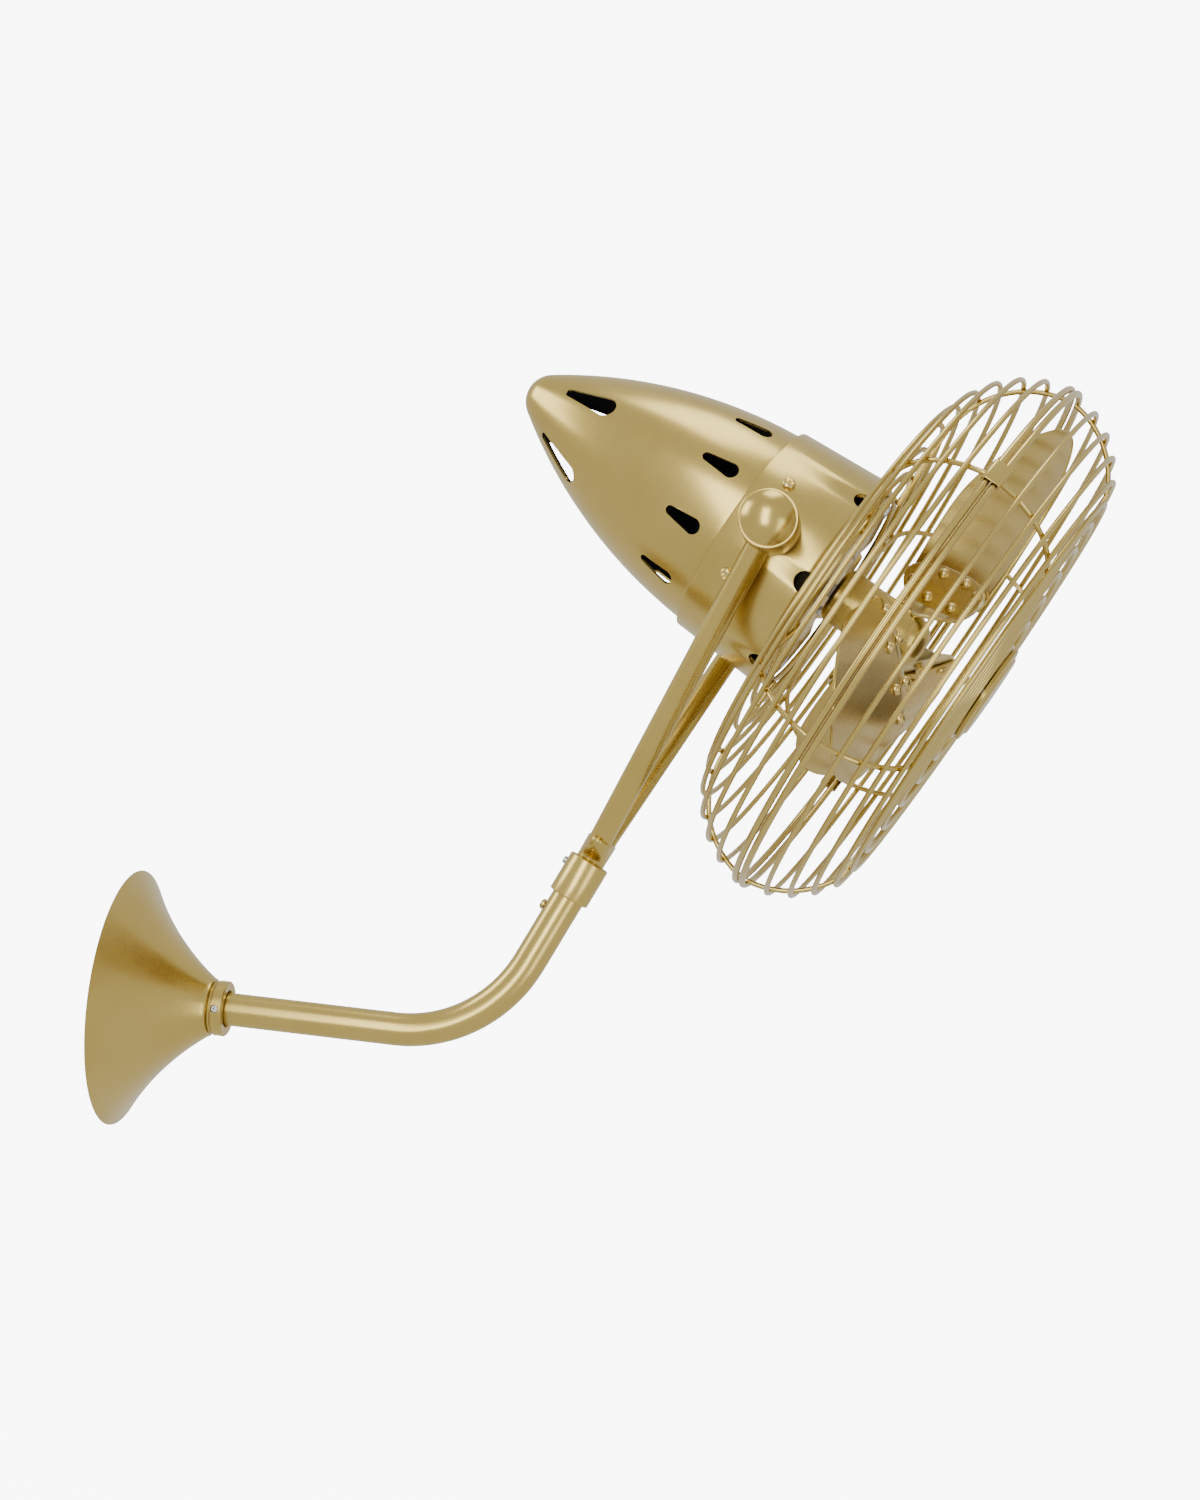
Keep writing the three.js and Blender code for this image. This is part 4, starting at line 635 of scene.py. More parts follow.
@dataclass
class Palette:
    """The finishes of the fan, each made once for each frame."""

    layout: Layout
    brass: SatinMetal = SatinMetal("satin_brass", (0.60, 0.455, 0.135), (0.50, 0.365, 0.095))
    wire: SatinMetal = SatinMetal(
        "brass_wire",
        (0.60, 0.46, 0.145),
        (0.52, 0.385, 0.11),
        roughness=0.2,
        bump=0.02,
        brushing=Brushing.LOOSE,
    )
    plate: SatinMetal = SatinMetal(
        "brass_plate",
        (0.76, 0.66, 0.36),
        (0.68, 0.58, 0.29),
        roughness=0.3,
        bump=0.03,
        brushing=Brushing.LOOSE,
    )
    polished: SatinMetal = SatinMetal(
        "bright_brass",
        (0.72, 0.57, 0.22),
        (0.62, 0.47, 0.16),
        roughness=0.2,
        bump=0.03,
        brushing=Brushing.LOOSE,
    )
    steel: SatinMetal = SatinMetal(
        "plated_steel", (0.58, 0.58, 0.59), (0.42, 0.42, 0.44), roughness=0.35, brushing=Brushing.LOOSE
    )
    # Black paint of the motor; the same black is also painted on the shells' inner faces as painted shade.
    black: Paint = Paint("motor_black", (0.006, 0.006, 0.008), (0.014, 0.014, 0.017))
    # How the faces that get the painted shade inside the shells are picked.
    inward: float = 0.5
    backward: float = 0.7
    front_wall_start: float = 30.0
    made: dict[tuple[str, tuple], bpy.types.Material] = field(default_factory=dict)

    def dress(self, piece: bpy.types.Object, finish: SatinMetal | Paint, place: Matrix) -> None:
        """Gives a piece one finish all over.

        Args:
            piece: the piece or CAD node.
            finish: its finish.
            place: the frame that the finish's lines follow.
        """
        key = (finish.name, tuple(round(number, PLACE_DIGITS) for row in place for number in row))
        if key not in self.made:
            self.made[key] = finish.material() if isinstance(finish, Paint) else finish.material(place)
        piece.data.materials.clear()
        piece.data.materials.append(self.made[key])

    def paint_shade_inside(self, piece: bpy.types.Object, place: Matrix, finish: Paint) -> None:
        """Paints a shell's inside black as painted shade: the faces that look at its axis, and the back of
        its front wall.

        Args:
            piece: the finished shell.
            place: the frame whose +Z is the shell's axis.
            finish: the black paint used as painted shade.
        """
        # The shell's inner faces get black paint as painted shade for the dark inside of the housing.
        piece.data.materials.append(finish.material())
        back = place.inverted()
        turn = place.to_3x3().normalized().inverted()
        for face in piece.data.polygons:
            middle, normal = back @ face.center, turn @ face.normal
            outward = Vector((middle.x, middle.y, 0)).normalized()
            looks_in = normal.dot(outward) < -self.inward
            looks_back = normal.z < -self.backward and middle.z > self.front_wall_start
            if looks_in or looks_back:
                face.material_index = 1

    def set_out(
        self,
        piece: bpy.types.Object,
        place: Matrix,
        finish: SatinMetal | Paint,
        body: str,
        slot: str,
        *nodes: str,
        lines: Matrix | None = None,
        crease: float = CREASE,
    ) -> None:
        """Places, shades, dresses and mounts a finished piece.

        Args:
            piece: the piece, in millimetres in its sub-assembly's frame.
            place: that frame.
            finish: its finish.
            body: the body that it moves with.
            slot: its material slot.
            *nodes: the CAD nodes that it stands for, if any.
            lines: the frame that the finish's lines follow, where that is another one.
            crease: the least turn in degrees of an edge that stays sharp.
        """
        Bench.moved(piece, place)
        Bench.smoothed(piece, crease)
        self.dress(piece, finish, lines or place)
        Bench.mount(piece, body, slot, *nodes)

    def dress_frame(self) -> None:
        """Dresses every CAD node, in the frame of what it is part of."""
        finishes = {
            "satin_brass": self.brass,
            "bright_brass": self.polished,
            "plated_steel": self.steel,
            "motor_black": self.black,
        }
        slots = {part["node"]: part["material_slot"] for part in frame["record"]["subparts"]}
        places = {"wall_mount": self.layout.wall(), "yoke": self.layout.yoke()}
        for name, node in frame["nodes"].items():
            place = places.get(node["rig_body"], self.layout.fan())
            self.dress(node, finishes[slots[name]], place)


# ---------------------------------------------------------------- small fasteners


@dataclass
class Fasteners:
    """Screws and rivets, modelled along +Z with their seat at height 0."""

    recess_width: float = 0.24
    recess_reach: float = 0.62
    recess_depth: float = 0.55
    recess_lift: float = 1.05
    shank_share: float = 0.5
    rim_share: float = 0.35
    socket_share: float = 0.5
    chamfer_share: float = 0.15

    def pan_head(self, name: str, radius: float, height: float, shank: float = 1.2) -> bpy.types.Object:
        """Models a round-topped screw with a cross recess.

        Args:
            name: the new object's name.
            radius: the head's radius.
            height: the head's height.
            shank: the length of the thin stub under the head.

        Returns:
            The screw.
        """
        crown = [
            (radius * math.sin(a), height * (self.rim_share + (1 - self.rim_share) * math.cos(a)))
            for a in (math.radians(90 - 90 * i / 8) for i in range(9))
        ]
        core = radius * self.shank_share
        outline = [(0, -shank), (core, -shank), (core, 0), (radius, 0), *crown]
        screw = Bench.turned(name, outline, steps=40)
        bars = []
        for turn in (0.0, math.pi / 2):
            seat = (0, 0, height * self.recess_lift)
            cube = bpy.ops.mesh.primitive_cube_add
            bar = Bench.primitive("recess_bar", cube, size=1, location=seat, rotation=(0, 0, turn))
            depth = 2 * height * self.recess_depth
            bar.scale = (2 * radius * self.recess_reach, 2 * radius * self.recess_width, depth)
            Bench.pick(bar)
            bpy.ops.object.transform_apply(location=True, rotation=True, scale=True)
            bars.append(bar)
        for bar in bars:
            Bench.cut(screw, [bar])
        return screw

    def socket_screw(self, name: str, radius: float, length: float) -> bpy.types.Object:
        """Models a headless screw with a six-sided socket in its top.

        Args:
            name: the new object's name.
            radius: its radius.
            length: its length; the bottom is at height 0.

        Returns:
            The screw.
        """
        chamfer = radius * self.chamfer_share
        outline = [(0, 0), (radius, 0), (radius, length - chamfer), (radius - chamfer, length), (0, length)]
        screw = Bench.turned(name, outline, steps=40)
        socket = Bench.primitive(
            "socket",
            bpy.ops.mesh.primitive_cylinder_add,
            vertices=6,
            radius=radius * self.socket_share,
            depth=radius * 2,
            location=(0, 0, length),
        )
        Bench.cut(screw, [socket])
        return screw

    def rivet(self, name: str, radius: float, height: float, grip: float) -> bpy.types.Object:
        """Models a rivet with a round head on each side of what it grips.

        Args:
            name: the new object's name.
            radius: the heads' radius.
            height: the heads' height.
            grip: the distance between the heads.

        Returns:
            The rivet, with the middle of its grip at height 0.
        """
        crown = [math.radians(9 * i) for i in range(11)]
        top = [(radius * math.cos(a), grip / 2 + height * math.sin(a)) for a in crown]
        bottom = [(r, -z) for r, z in reversed(top)]
        shank = radius * self.shank_share
        waist = [(shank, -grip / 2), (shank, grip / 2)]
        outline = [(0, bottom[0][1]), *bottom[1:], *waist, *top[:-1], (0, top[-1][1])]
        return Bench.turned(name, outline, steps=24)


# ---------------------------------------------------------------- wall fitting


@dataclass
class WallFitting:
    """The bell-shaped canopy, its ring and the set screw."""

    layout: Layout
    palette: Palette
    fasteners: Fasteners
    rim_radius: float = 82.5
    neck_radius: float = 19.0
    depth: float = 56.0
    bell_radius: float = 43.0
    bell_depth: float = 22.0
    wall: float = 1.2
    tube_hole: float = 10.95
    lip: float = 1.4
    lip_lean: float = 0.3
    lip_break: float = 0.4
    lip_inset: float = 1.1
    ring_radius: float = 17.8
    ring_length: float = 9.6
    ring_groove: Outline = (
        (0.9, 0.0),
        (0.7, 0.4),
        (0.7, 1.5),
        (1.1, 1.7),
        (1.1, 2.1),
        (0.5, 2.3),
        (0.0, 2.8),
    )
    ring_bore: float = 12.0
    ring_break: float = 0.8
    bore_break: float = 0.5
    bore_depth: float = 3.0
    bore_slope: float = 0.4
    screw_radius: float = 2.3
    screw_length: float = 5.4

    def bell_line(self, steps: int = 40) -> list[tuple[float, float]]:
        """Draws the bell's outer line from its rim to its neck.

        Args:
            steps: how many steps it has.

        Returns:
            Its (radius, depth) points.
        """
        start, end = (self.rim_radius, 0.0), (self.neck_radius, self.depth)
        pull = (self.bell_radius, self.bell_depth)
        line = []
        for i in range(steps + 1):
            t = i / steps
            near, middle, far = (1 - t) ** 2, 2 * t * (1 - t), t ** 2
            line.append(tuple(near * a + middle * b + far * c for a, b, c in zip(start, pull, end)))
        return line

    def canopy(self) -> bpy.types.Object:
        """Models the canopy as one thin spun bell with a turned-in lip.

        Returns:
            The canopy.
        """
        outer = self.bell_line()
        inner = []
        for i, (radius, height) in enumerate(outer):
            ahead, behind = outer[min(i + 1, len(outer) - 1)], outer[max(i - 1, 0)]
            along = Vector((ahead[0] - behind[0], ahead[1] - behind[1])).normalized()
            inner.append((radius - along.y * self.wall, height + along.x * self.wall))
        inner[0] = (inner[0][0], 0.0)
        top = self.depth + self.lip
        neck = self.neck_radius
        lip = [(neck - self.lip_lean, top - self.lip_break), (neck - self.lip_inset, top)]
        hole = [(self.tube_hole, top), (self.tube_hole, self.depth)]
        ceiling = (inner[-1][0], self.depth - self.wall)
        outline = [*outer, *lip, *hole, ceiling, *reversed(inner[:-1]), outer[0]]
        return Bench.turned("canopy_bell", outline, steps=128)

    def ring_span(self) -> tuple[float, float]:
        """Returns the heights of the ring's two ends."""
        bottom = self.depth + self.lip + GAP
        return bottom, bottom + self.ring_length

    def ring(self) -> bpy.types.Object:
        """Models the ring that holds the canopy, with a groove round it and the hole of its set screw.

        Returns:
            The ring.
        """
        bottom, top = self.ring_span()
        groove = [(inset, bottom + height) for inset, height in self.ring_groove]
        mouth = [(0.0, top - self.ring_break), (self.ring_break, top)]
        outline = [
            (self.tube_hole, bottom),
            *[(self.ring_radius - inset, height) for inset, height in [*groove, *mouth]],
            (self.ring_bore + self.bore_break, top),
            (self.ring_bore, top - self.bore_break),
            (self.ring_bore, top - self.bore_depth),
            (self.tube_hole, top - self.bore_depth - self.bore_slope),
            (self.tube_hole, bottom),
        ]
        ring = Bench.turned("canopy_ring_band", outline, steps=96)
        middle = (bottom + top) / 2
        hole = Bench.primitive(
            "screw_hole",
            bpy.ops.mesh.primitive_cylinder_add,
            vertices=32,
            radius=self.screw_radius + GAP / 2,
            depth=20,
            location=(0, -self.ring_radius, middle),
            rotation=(math.pi / 2, 0, 0),
        )
        Bench.cut(ring, [hole])
        countersink = Bench.primitive(
            "hole_mouth",
            bpy.ops.mesh.primitive_cone_add,
            vertices=32,
            radius1=self.screw_radius + 1.2,
            radius2=self.screw_radius - 0.6,
            depth=1.8,
            location=(0, -self.ring_radius + 0.1, middle),
            rotation=(-math.pi / 2, 0, 0),
        )
        Bench.cut(ring, [countersink])
        return ring

    def set_screw(self) -> bpy.types.Object:
        """Models the ring's set screw, which points to the near side.

        Returns:
            The screw.
        """
        screw = self.fasteners.socket_screw("canopy_set_screw", self.screw_radius, self.screw_length)
        seat = Matrix.Translation((0, -self.tube_hole, sum(self.ring_span()) / 2))
        return Bench.moved(screw, seat @ Matrix.Rotation(math.pi / 2, 4, "X"))

    def build(self) -> None:
        """Builds and places the canopy, its ring and the screw."""
        brass, steel = self.palette.brass, self.palette.steel
        for piece, finish, slot, node in (
            (self.canopy(), brass, "satin_brass", "wall_canopy"),
            (self.ring(), brass, "satin_brass", "canopy_ring"),
            (self.set_screw(), steel, "plated_steel", "ring_set_screw"),
        ):
            self.palette.set_out(piece, self.layout.wall(), finish, "wall_mount", slot, node)


# ---------------------------------------------------------------- arm


@dataclass
class Arm:
    """The bent tube and the collar that couples the fork to it."""

    layout: Layout
    palette: Palette
    fasteners: Fasteners
    tube_radius: float = 10.65
    tube_wall: float = 2.75
    start: float = 8.3
    bend_radius: float = 90.0
    rise: float = 65.0
    socket_depth: float = 9.7
    collar_radius: float = 13.4
    collar_length: float = 27.0
    collar_chamfer: float = 0.7
    collar_ease: float = 0.2
    grub: tuple[float, float] = (2.4, 5.3)
    lock: tuple[float, float, float] = (3.4, 2.8, 2.0)
    stem_hole: float = 9.8
    stem_depth: float = 12.0
    spigot_length: float = 24.0
    wire_bore: float = 5.0
    collar_screw_height: float = 6.3
    lock_screw_drop: float = 11.4

    def tube(self) -> bpy.types.Object:
        """Models the arm: a circle pulled straight, spun round the bend and pulled straight again.

        Returns:
            The arm.
        """
        setback = self.bend_radius * math.tan(math.radians(self.rise) / 2)
        reach = self.layout.arm_reach
        bend_start = reach - setback
        end = self.layout.collar_centre - self.collar_length / 2 + self.socket_depth
        tube = Bench.primitive(
            "arm_pipe",
            bpy.ops.mesh.primitive_circle_add,
            vertices=64,
            radius=self.tube_radius,
            location=(self.start, 0, 0),
            rotation=(0, math.pi / 2, 0),
        )
        Bench.moved(tube, Matrix.Identity(4))
        bpy.ops.object.mode_set(mode="EDIT")
        bpy.ops.mesh.select_all(action="SELECT")
        self.pull(Vector((bend_start - self.start, 0, 0)), 10)
        centre = (bend_start, 0, self.bend_radius)
        bpy.ops.mesh.spin(steps=32, angle=math.radians(self.rise), center=centre, axis=(0, 1, 0))
        self.pull(self.layout.stem_axis() * (end - setback), 6)
        Bench.close()
        Bench.apply(tube, "SOLIDIFY", thickness=self.tube_wall, offset=-1.0)
        return tube

    def pull(self, way: Vector, steps: int) -> None:
        """Pulls the selected circle along a straight way in even steps."""
        for _ in range(steps):
            bpy.ops.mesh.extrude_region_move(TRANSFORM_OT_translate={"value": way / steps})

    def collar(self) -> bpy.types.Object:
        """Models the collar with its two counterbores and the spigot inside the tube.

        Returns:
            The collar.
        """
        half = self.collar_length / 2
        tube_hole = self.tube_radius + GAP
        floor = -half + self.socket_depth + GAP
        spigot = self.tube_radius - self.tube_wall - GAP
        outline = [
            (tube_hole, -half),
            (self.collar_radius - self.collar_chamfer, -half),
            (self.collar_radius, -half + self.collar_chamfer),
            (self.collar_radius, half - self.collar_chamfer),
            (self.collar_radius - self.collar_chamfer, half),
            (self.stem_hole, half),
            (self.stem_hole, half - self.stem_depth),
            (self.wire_bore, half - self.stem_depth),
            (self.wire_bore, -half - self.spigot_length),
            (spigot, -half - self.spigot_length),
            (spigot, floor),
            (tube_hole, floor),
            (tube_hole, -half),
        ]
        collar = Bench.turned("arm_collar", outline, steps=80)
        Bench.eased(collar, self.collar_ease, above=30)
        return collar

    def screws(self) -> list[bpy.types.Object]:
        """Models the collar's headless screw and the lock screw below it, both on the back.

        Returns:
            The two screws.
        """
        backwards = Matrix.Rotation(-math.pi / 2, 4, "Y")
        grub = self.fasteners.socket_screw("collar_set_screw", *self.grub)
        seat = Matrix.Translation((-self.stem_hole - GAP, 0, self.collar_screw_height))
        Bench.moved(grub, seat @ backwards)
        lock = self.fasteners.pan_head("arm_lock_pan_screw", *self.lock)
        below = -self.collar_length / 2 - self.lock_screw_drop
        Bench.moved(lock, Matrix.Translation((-self.tube_radius - GAP, 0, below)) @ backwards)
        return [grub, lock]

    def build(self) -> None:
        """Builds and places the arm, the collar and the two screws."""
        row, collar = Matrix.Scale(METRES, 4), self.layout.collar()
        brass, steel = self.palette.brass, self.palette.steel
        tube, band = self.tube(), self.collar()
        grub, lock = self.screws()
        for piece, place, lines, finish, slot, node in (
            (tube, row, self.layout.wall(), brass, "satin_brass", "arm_tube"),
            (band, collar, collar, brass, "satin_brass", "coupling_collar"),
            (grub, collar, collar, steel, "plated_steel", "collar_screw"),
            (lock, collar, collar, brass, "satin_brass", "arm_lock_screw"),
        ):
            self.palette.set_out(piece, place, finish, "wall_mount", slot, node, lines=lines)


# ---------------------------------------------------------------- fork


@dataclass
class Yoke:
    """The fork: stem, two slanted tubes, and a knuckle with a domed cap on each."""

    layout: Layout
    palette: Palette
    stem_radius: float = 9.5
    stem_foot: float = -244.9
    neck_start: float = -233.2
    neck_length: float = 17.0
    neck_half_width: float = 21.5
    neck_haste: float = 1.15
    neck_power: float = 1.6
    neck_steps: int = 12
    neck_lead: float = 2.0
    neck_trim: float = 3.0
    neck_break: float = 1.0
    tube_radius: float = 7.6
    tube_wall: float = 1.5
    half_span: float = 96.0
    foot_half_span: float = 9.0
    foot_drop: float = 221.0
    socket_depth: float = 7.0
    knuckle_radius: float = 18.0
    knuckle_length: float = 32.0
    knuckle_break: float = 1.0
    knuckle_ease: float = 0.25
    bolt_hole: float = 4.3
    pocket_radius: float = 13.0
    pocket_depth: float = 11.0
    tube_seat: float = 7.0
    seat_length: float = 60.0
    cap_height: float = 9.0
    cap_rim: float = 1.2
    cap_inset: float = 1.4
    cap_spigot: float = 2.5
    cap_break: float = 0.3
    rim_line: Outline = ((0.0, -0.1), (0.35, 0.15), (0.8, 0.1), (1.0, -0.9), (1.35, -0.9))

    def stem(self) -> bpy.types.Object:
        """Models the stem: a round bar that is spread sideways into a flat neck.

        Returns:
            The stem.
        """
        stem = Bench.primitive(
            "yoke_neck",
            bpy.ops.mesh.primitive_circle_add,
            vertices=64,
            radius=self.stem_radius,
            location=(0, 0, self.stem_foot),
            fill_type="NGON",
        )
        bpy.ops.object.mode_set(mode="EDIT")
        bpy.ops.mesh.select_all(action="SELECT")
        widths = [self.stem_radius]
        heights = [self.stem_foot]
        for i in range(self.neck_steps + 1):
            share = i / self.neck_steps
            spread = math.sin(min(share * self.neck_haste, 1) * math.pi / 2) ** self.neck_power
            widths.append(self.stem_radius + (self.neck_half_width - self.stem_radius) * spread)
            heights.append(self.neck_start + self.neck_lead + (self.neck_length - self.neck_trim) * share)
        for low, high, narrow, wide in zip(heights, heights[1:], widths, widths[1:]):
            bpy.ops.mesh.extrude_region_move(TRANSFORM_OT_translate={"value": (0, 0, high - low)})
            bpy.ops.transform.resize(value=(1, wide / narrow, 1), center_override=(0, 0, high))
        Bench.close()
        Bench.eased(stem, self.neck_break, steps=3, above=40)
        return stem

    def leg_line(self, side: Side) -> tuple[Vector, Vector]:
        """Finds the two ends of a slanted tube, in the neck and in the knuckle.

        Args:
            side: the tube's side.

        Returns:
            Where it starts and where it ends.
        """
        foot = Vector((0, side.value * self.foot_half_span, -self.foot_drop))
        top = Vector((0, side.value * self.half_span, 0))
        way = (top - foot).normalized()
        rise = self.neck_start + self.neck_length - self.socket_depth + self.foot_drop
        return foot + way * (rise / way.z), top - way * (self.knuckle_radius - self.tube_seat)

    def leg(self, side: Side) -> bpy.types.Object:
        """Models one slanted tube.

        Args:
            side: the tube's side.

        Returns:
            The tube.
        """
        start, end = self.leg_line(side)
        leg = Bench.primitive(
            f"yoke_leg_{side.name.lower()}",
            bpy.ops.mesh.primitive_cylinder_add,
            vertices=56,
            radius=self.tube_radius,
            depth=(end - start).length,
            end_fill_type="NOTHING",
        )
        Bench.apply(leg, "SOLIDIFY", thickness=self.tube_wall, offset=-1.0)
        return Bench.moved(leg, Bench.aimed((start + end) / 2, end - start))

    def outwards(self, side: Side) -> Matrix:
        """Returns the turn that points +Z out along the tilt axis on one side."""
        return Matrix.Rotation(-side.value * math.pi / 2, 4, "X")

    def knuckle(self, side: Side) -> bpy.types.Object:
        """Models one knuckle: a short barrel with eased edges, open inwards for the pivot.

        Args:
            side: the knuckle's side.

        Returns:
            The knuckle.
        """
        inner = self.half_span - self.knuckle_length / 2
        outer = self.half_span + self.knuckle_length / 2
        outline = [
            (self.bolt_hole, inner),
            (self.knuckle_radius - self.knuckle_break, inner),
            (self.knuckle_radius, inner + self.knuckle_break),
            (self.knuckle_radius, outer),
            (self.pocket_radius, outer),
            (self.pocket_radius, outer - self.pocket_depth),
            (self.bolt_hole, outer - self.pocket_depth),
            (self.bolt_hole, inner),
        ]
        knuckle = Bench.turned(f"knuckle_barrel_{side.name.lower()}", outline, steps=80)
        Bench.eased(knuckle, self.knuckle_ease, above=40)
        Bench.moved(knuckle, self.outwards(side))
        start, end = self.leg_line(side)
        way = (end - start).normalized()
        round_bar = bpy.ops.mesh.primitive_cylinder_add
        radius, length = self.tube_radius + SEAT, self.seat_length
        seat = Bench.primitive("leg_seat", round_bar, vertices=56, radius=radius, depth=length)
        Bench.moved(seat, Bench.aimed(end + way * (GAP - length / 2), way))
        Bench.cut(knuckle, [seat])
        return knuckle

    def cap(self, side: Side) -> bpy.types.Object:
        """Models one domed cap with a thin bright rim.

        Args:
            side: the cap's side.

        Returns:
            The cap.
        """
        base = self.half_span + self.knuckle_length / 2 + GAP
        radius, height = self.knuckle_radius, self.cap_height
        ball = (radius ** 2 + height ** 2) / (2 * height)
        rise = base + self.cap_rim
        edge = math.degrees(math.asin((radius - self.cap_inset) / ball))
        top = rise + height
        dome = arc((0, top - ball), ball, 90 - edge, 90, 28)
        spigot = self.pocket_radius - GAP
        outline = [
            (0, base - self.cap_spigot),
            (spigot, base - self.cap_spigot),
            (spigot, base),
            (radius - self.cap_break, base),
            (radius, base + self.cap_break),
            *[(radius - inset, rise + lift) for inset, lift in self.rim_line],
            *dome[:-1],
            (0, top),
        ]
        cap = Bench.turned(f"knuckle_dome_{side.name.lower()}", outline, steps=96)
        return Bench.moved(cap, self.outwards(side))

    def build(self) -> None:
        """Builds and places the fork's pieces."""
        place, brass = self.layout.yoke(), self.palette.brass
        across = place @ Matrix.Rotation(math.pi / 2, 4, "X")
        self.palette.set_out(self.stem(), place, brass, "yoke", "satin_brass", "yoke_stem")
        for side in Side:
            name = side.name.lower()
            start, end = self.leg_line(side)
            for piece, lines, node in (
                (self.leg(side), place @ Bench.aimed(start, end - start), f"yoke_tube_{name}"),
                (self.knuckle(side), across, f"knuckle_{name}"),
                (self.cap(side), across, f"knuckle_cap_{name}"),
            ):
                self.palette.set_out(piece, place, brass, "yoke", "satin_brass", node, lines=lines)


# ---------------------------------------------------------------- housing


@dataclass(frozen=True)
class Slot:
    """A teardrop slot: a round wide end in front, a round narrow end at the rear."""

    rear: float
    front: float
    narrow: float
    wide: float
    count: int
    start: float

    def outline(self) -> list[tuple[float, float]]:
        """Draws the slot.

        Returns:
            Its outline's (across, along) points.
        """
        ahead = arc((0, self.front - self.wide), self.wide, 0, 180, 16)
        behind = arc((0, self.rear + self.narrow), self.narrow, 180, 360, 10)
        return [*ahead, *behind]

    def angles(self) -> list[float]:
        """Returns the slots' angles in degrees."""
        return [self.start + 360 * i / self.count for i in range(self.count)]


@dataclass
class Housing:
    """The bullet-shaped motor housing: rear shell, front shell, spacers and screws."""

    layout: Layout
    palette: Palette
    fasteners: Fasteners
    joint: float = -26.5
    rear_radius: float = 69.0
    arc_radius: float = 323.0
    arc_start: float = 4.0
    nose_radius: float = 17.5
    wall: float = 1.6
    rim_length: float = 19.0
    front_wall: float = 3.1
    flare: float = 2.8
    face: float = 41.0
    corner: float = 8.0
    lip_line: Outline = ((1.2, 0.0), (0.35, 0.35), (0.0, 1.2))
    bore: float = 14.0
    nose_slots: Slot = Slot(-165, -129, 2.8, 6.8, 5, 0)
    side_slots: Slot = Slot(-63.5, -38, 3, 5.3, 10, 0)
    front_slot_start: float = 99.0
    front_slot_count: int = 7
    front_slot_half_width: float = 7.0
    front_slot_rear: float = 28.0
    front_slot_inner: float = 45.0
    screw: tuple[float, float] = (4.1, 3.0)
    screw_offset: float = 27.0
    screw_height: float = -8.4
    slot_break: float = 0.35
    overcut: float = 5.0
    spacer_radius: float = 13.0
    spacer_inner: float = 73.0
    spacer_break: float = 0.5
    bolt_hole: float = 4.3
    knuckle_inner: float = 80.0

    def front_radius(self, height: float) -> float:
        """Returns the front shell's outer radius at a height along the axis."""
        lean = math.tan(math.radians(self.flare))
        return self.rear_radius + GAP + self.front_wall + (height - self.joint) * lean

    def rear_line(self, inset: float) -> list[tuple[float, float]]:
        """Draws the rear shell's line from the joint back to the tip.

        Args:
            inset: how far the line is moved in.

        Returns:
            Its (radius, height) points.
        """
        start = math.radians(self.arc_start)
        centre_height = self.joint + self.arc_radius * math.sin(start)
        centre_radius = self.rear_radius - self.arc_radius * math.cos(start)
        reach = math.sqrt((self.arc_radius - self.nose_radius) ** 2 - centre_radius ** 2)
        end = math.degrees(math.asin(reach / (self.arc_radius - self.nose_radius)))
        side = arc((centre_radius, centre_height), self.arc_radius - inset, -self.arc_start, -end, 48)
        tip = arc((0, centre_height - reach), self.nose_radius - inset, -end, -90, 14)
        return [*side, *tip[1:-1], (0.0, tip[-1][1])]

    def rear_shell(self) -> bpy.types.Object:
        """Models the rear shell with its two rows of teardrop slots.

        Returns:
            The rear shell.
        """
        rim = self.joint + self.rim_length
        inner = self.rear_line(self.wall)
        outline = [
            (self.rear_radius - self.wall, rim),
            (self.rear_radius, rim),
            *self.rear_line(0),
            *reversed(inner),
            (self.rear_radius - self.wall, rim),
        ]
        shell = Bench.turned("housing_bullet", outline, steps=144)
        for row in (self.nose_slots, self.side_slots):
            tool = Bench.slab("slot_tool", row.outline(), self.rear_radius + self.overcut)
            Bench.cut(shell, Bench.ring(tool, row.angles()))
        Bench.eased(shell, self.slot_break, above=50)
        return shell

    def front_shell(self) -> bpy.types.Object:
        """Models the front shell, whose slots wrap from its side to its face.

        Returns:
            The front shell.
        """
        inside = self.rear_radius + GAP
        face_radius = self.front_radius(self.face)
        edge = self.front_radius(self.joint)
        back = self.face - self.front_wall
        round_out = arc((face_radius - self.corner, self.face - self.corner), self.corner, 0, 90, 12)
        small = self.corner - self.front_wall
        round_in = arc((face_radius - self.front_wall - small, back - small), small, 90, 0, 8)
        outline = [
            (inside, self.joint),
            *[(edge - inset, self.joint + lift) for inset, lift in self.lip_line],
            *round_out,
            (self.bore, self.face),
            (self.bore, back),
            *round_in,
            (inside, self.joint),
        ]
        shell = Bench.turned("housing_front", outline, steps=144)
        tool = self.front_slot_tool()
        count = self.front_slot_count
        angles = [self.front_slot_start + 360 * i / count for i in range(count)]
        Bench.cut(shell, Bench.ring(tool, angles))
        Bench.eased(shell, self.slot_break, above=50)
        return shell

    def front_slot_tool(self) -> bpy.types.Object:
        """Models the cutter of a front slot: a bar along +X with a round rear side.

        Returns:
            The cutter.
        """
        half = self.front_slot_half_width
        ahead = self.face + self.overcut
        depth = self.front_radius(self.face) + self.overcut - self.front_slot_inner
        bend = arc((0, self.front_slot_rear + half), half, 180, 360, 20)
        tool = Bench.slab("slot_tool", [(half, ahead), (-half, ahead), *bend], depth)
        return Bench.moved(tool, Matrix.Translation((self.front_slot_inner, 0, 0)))

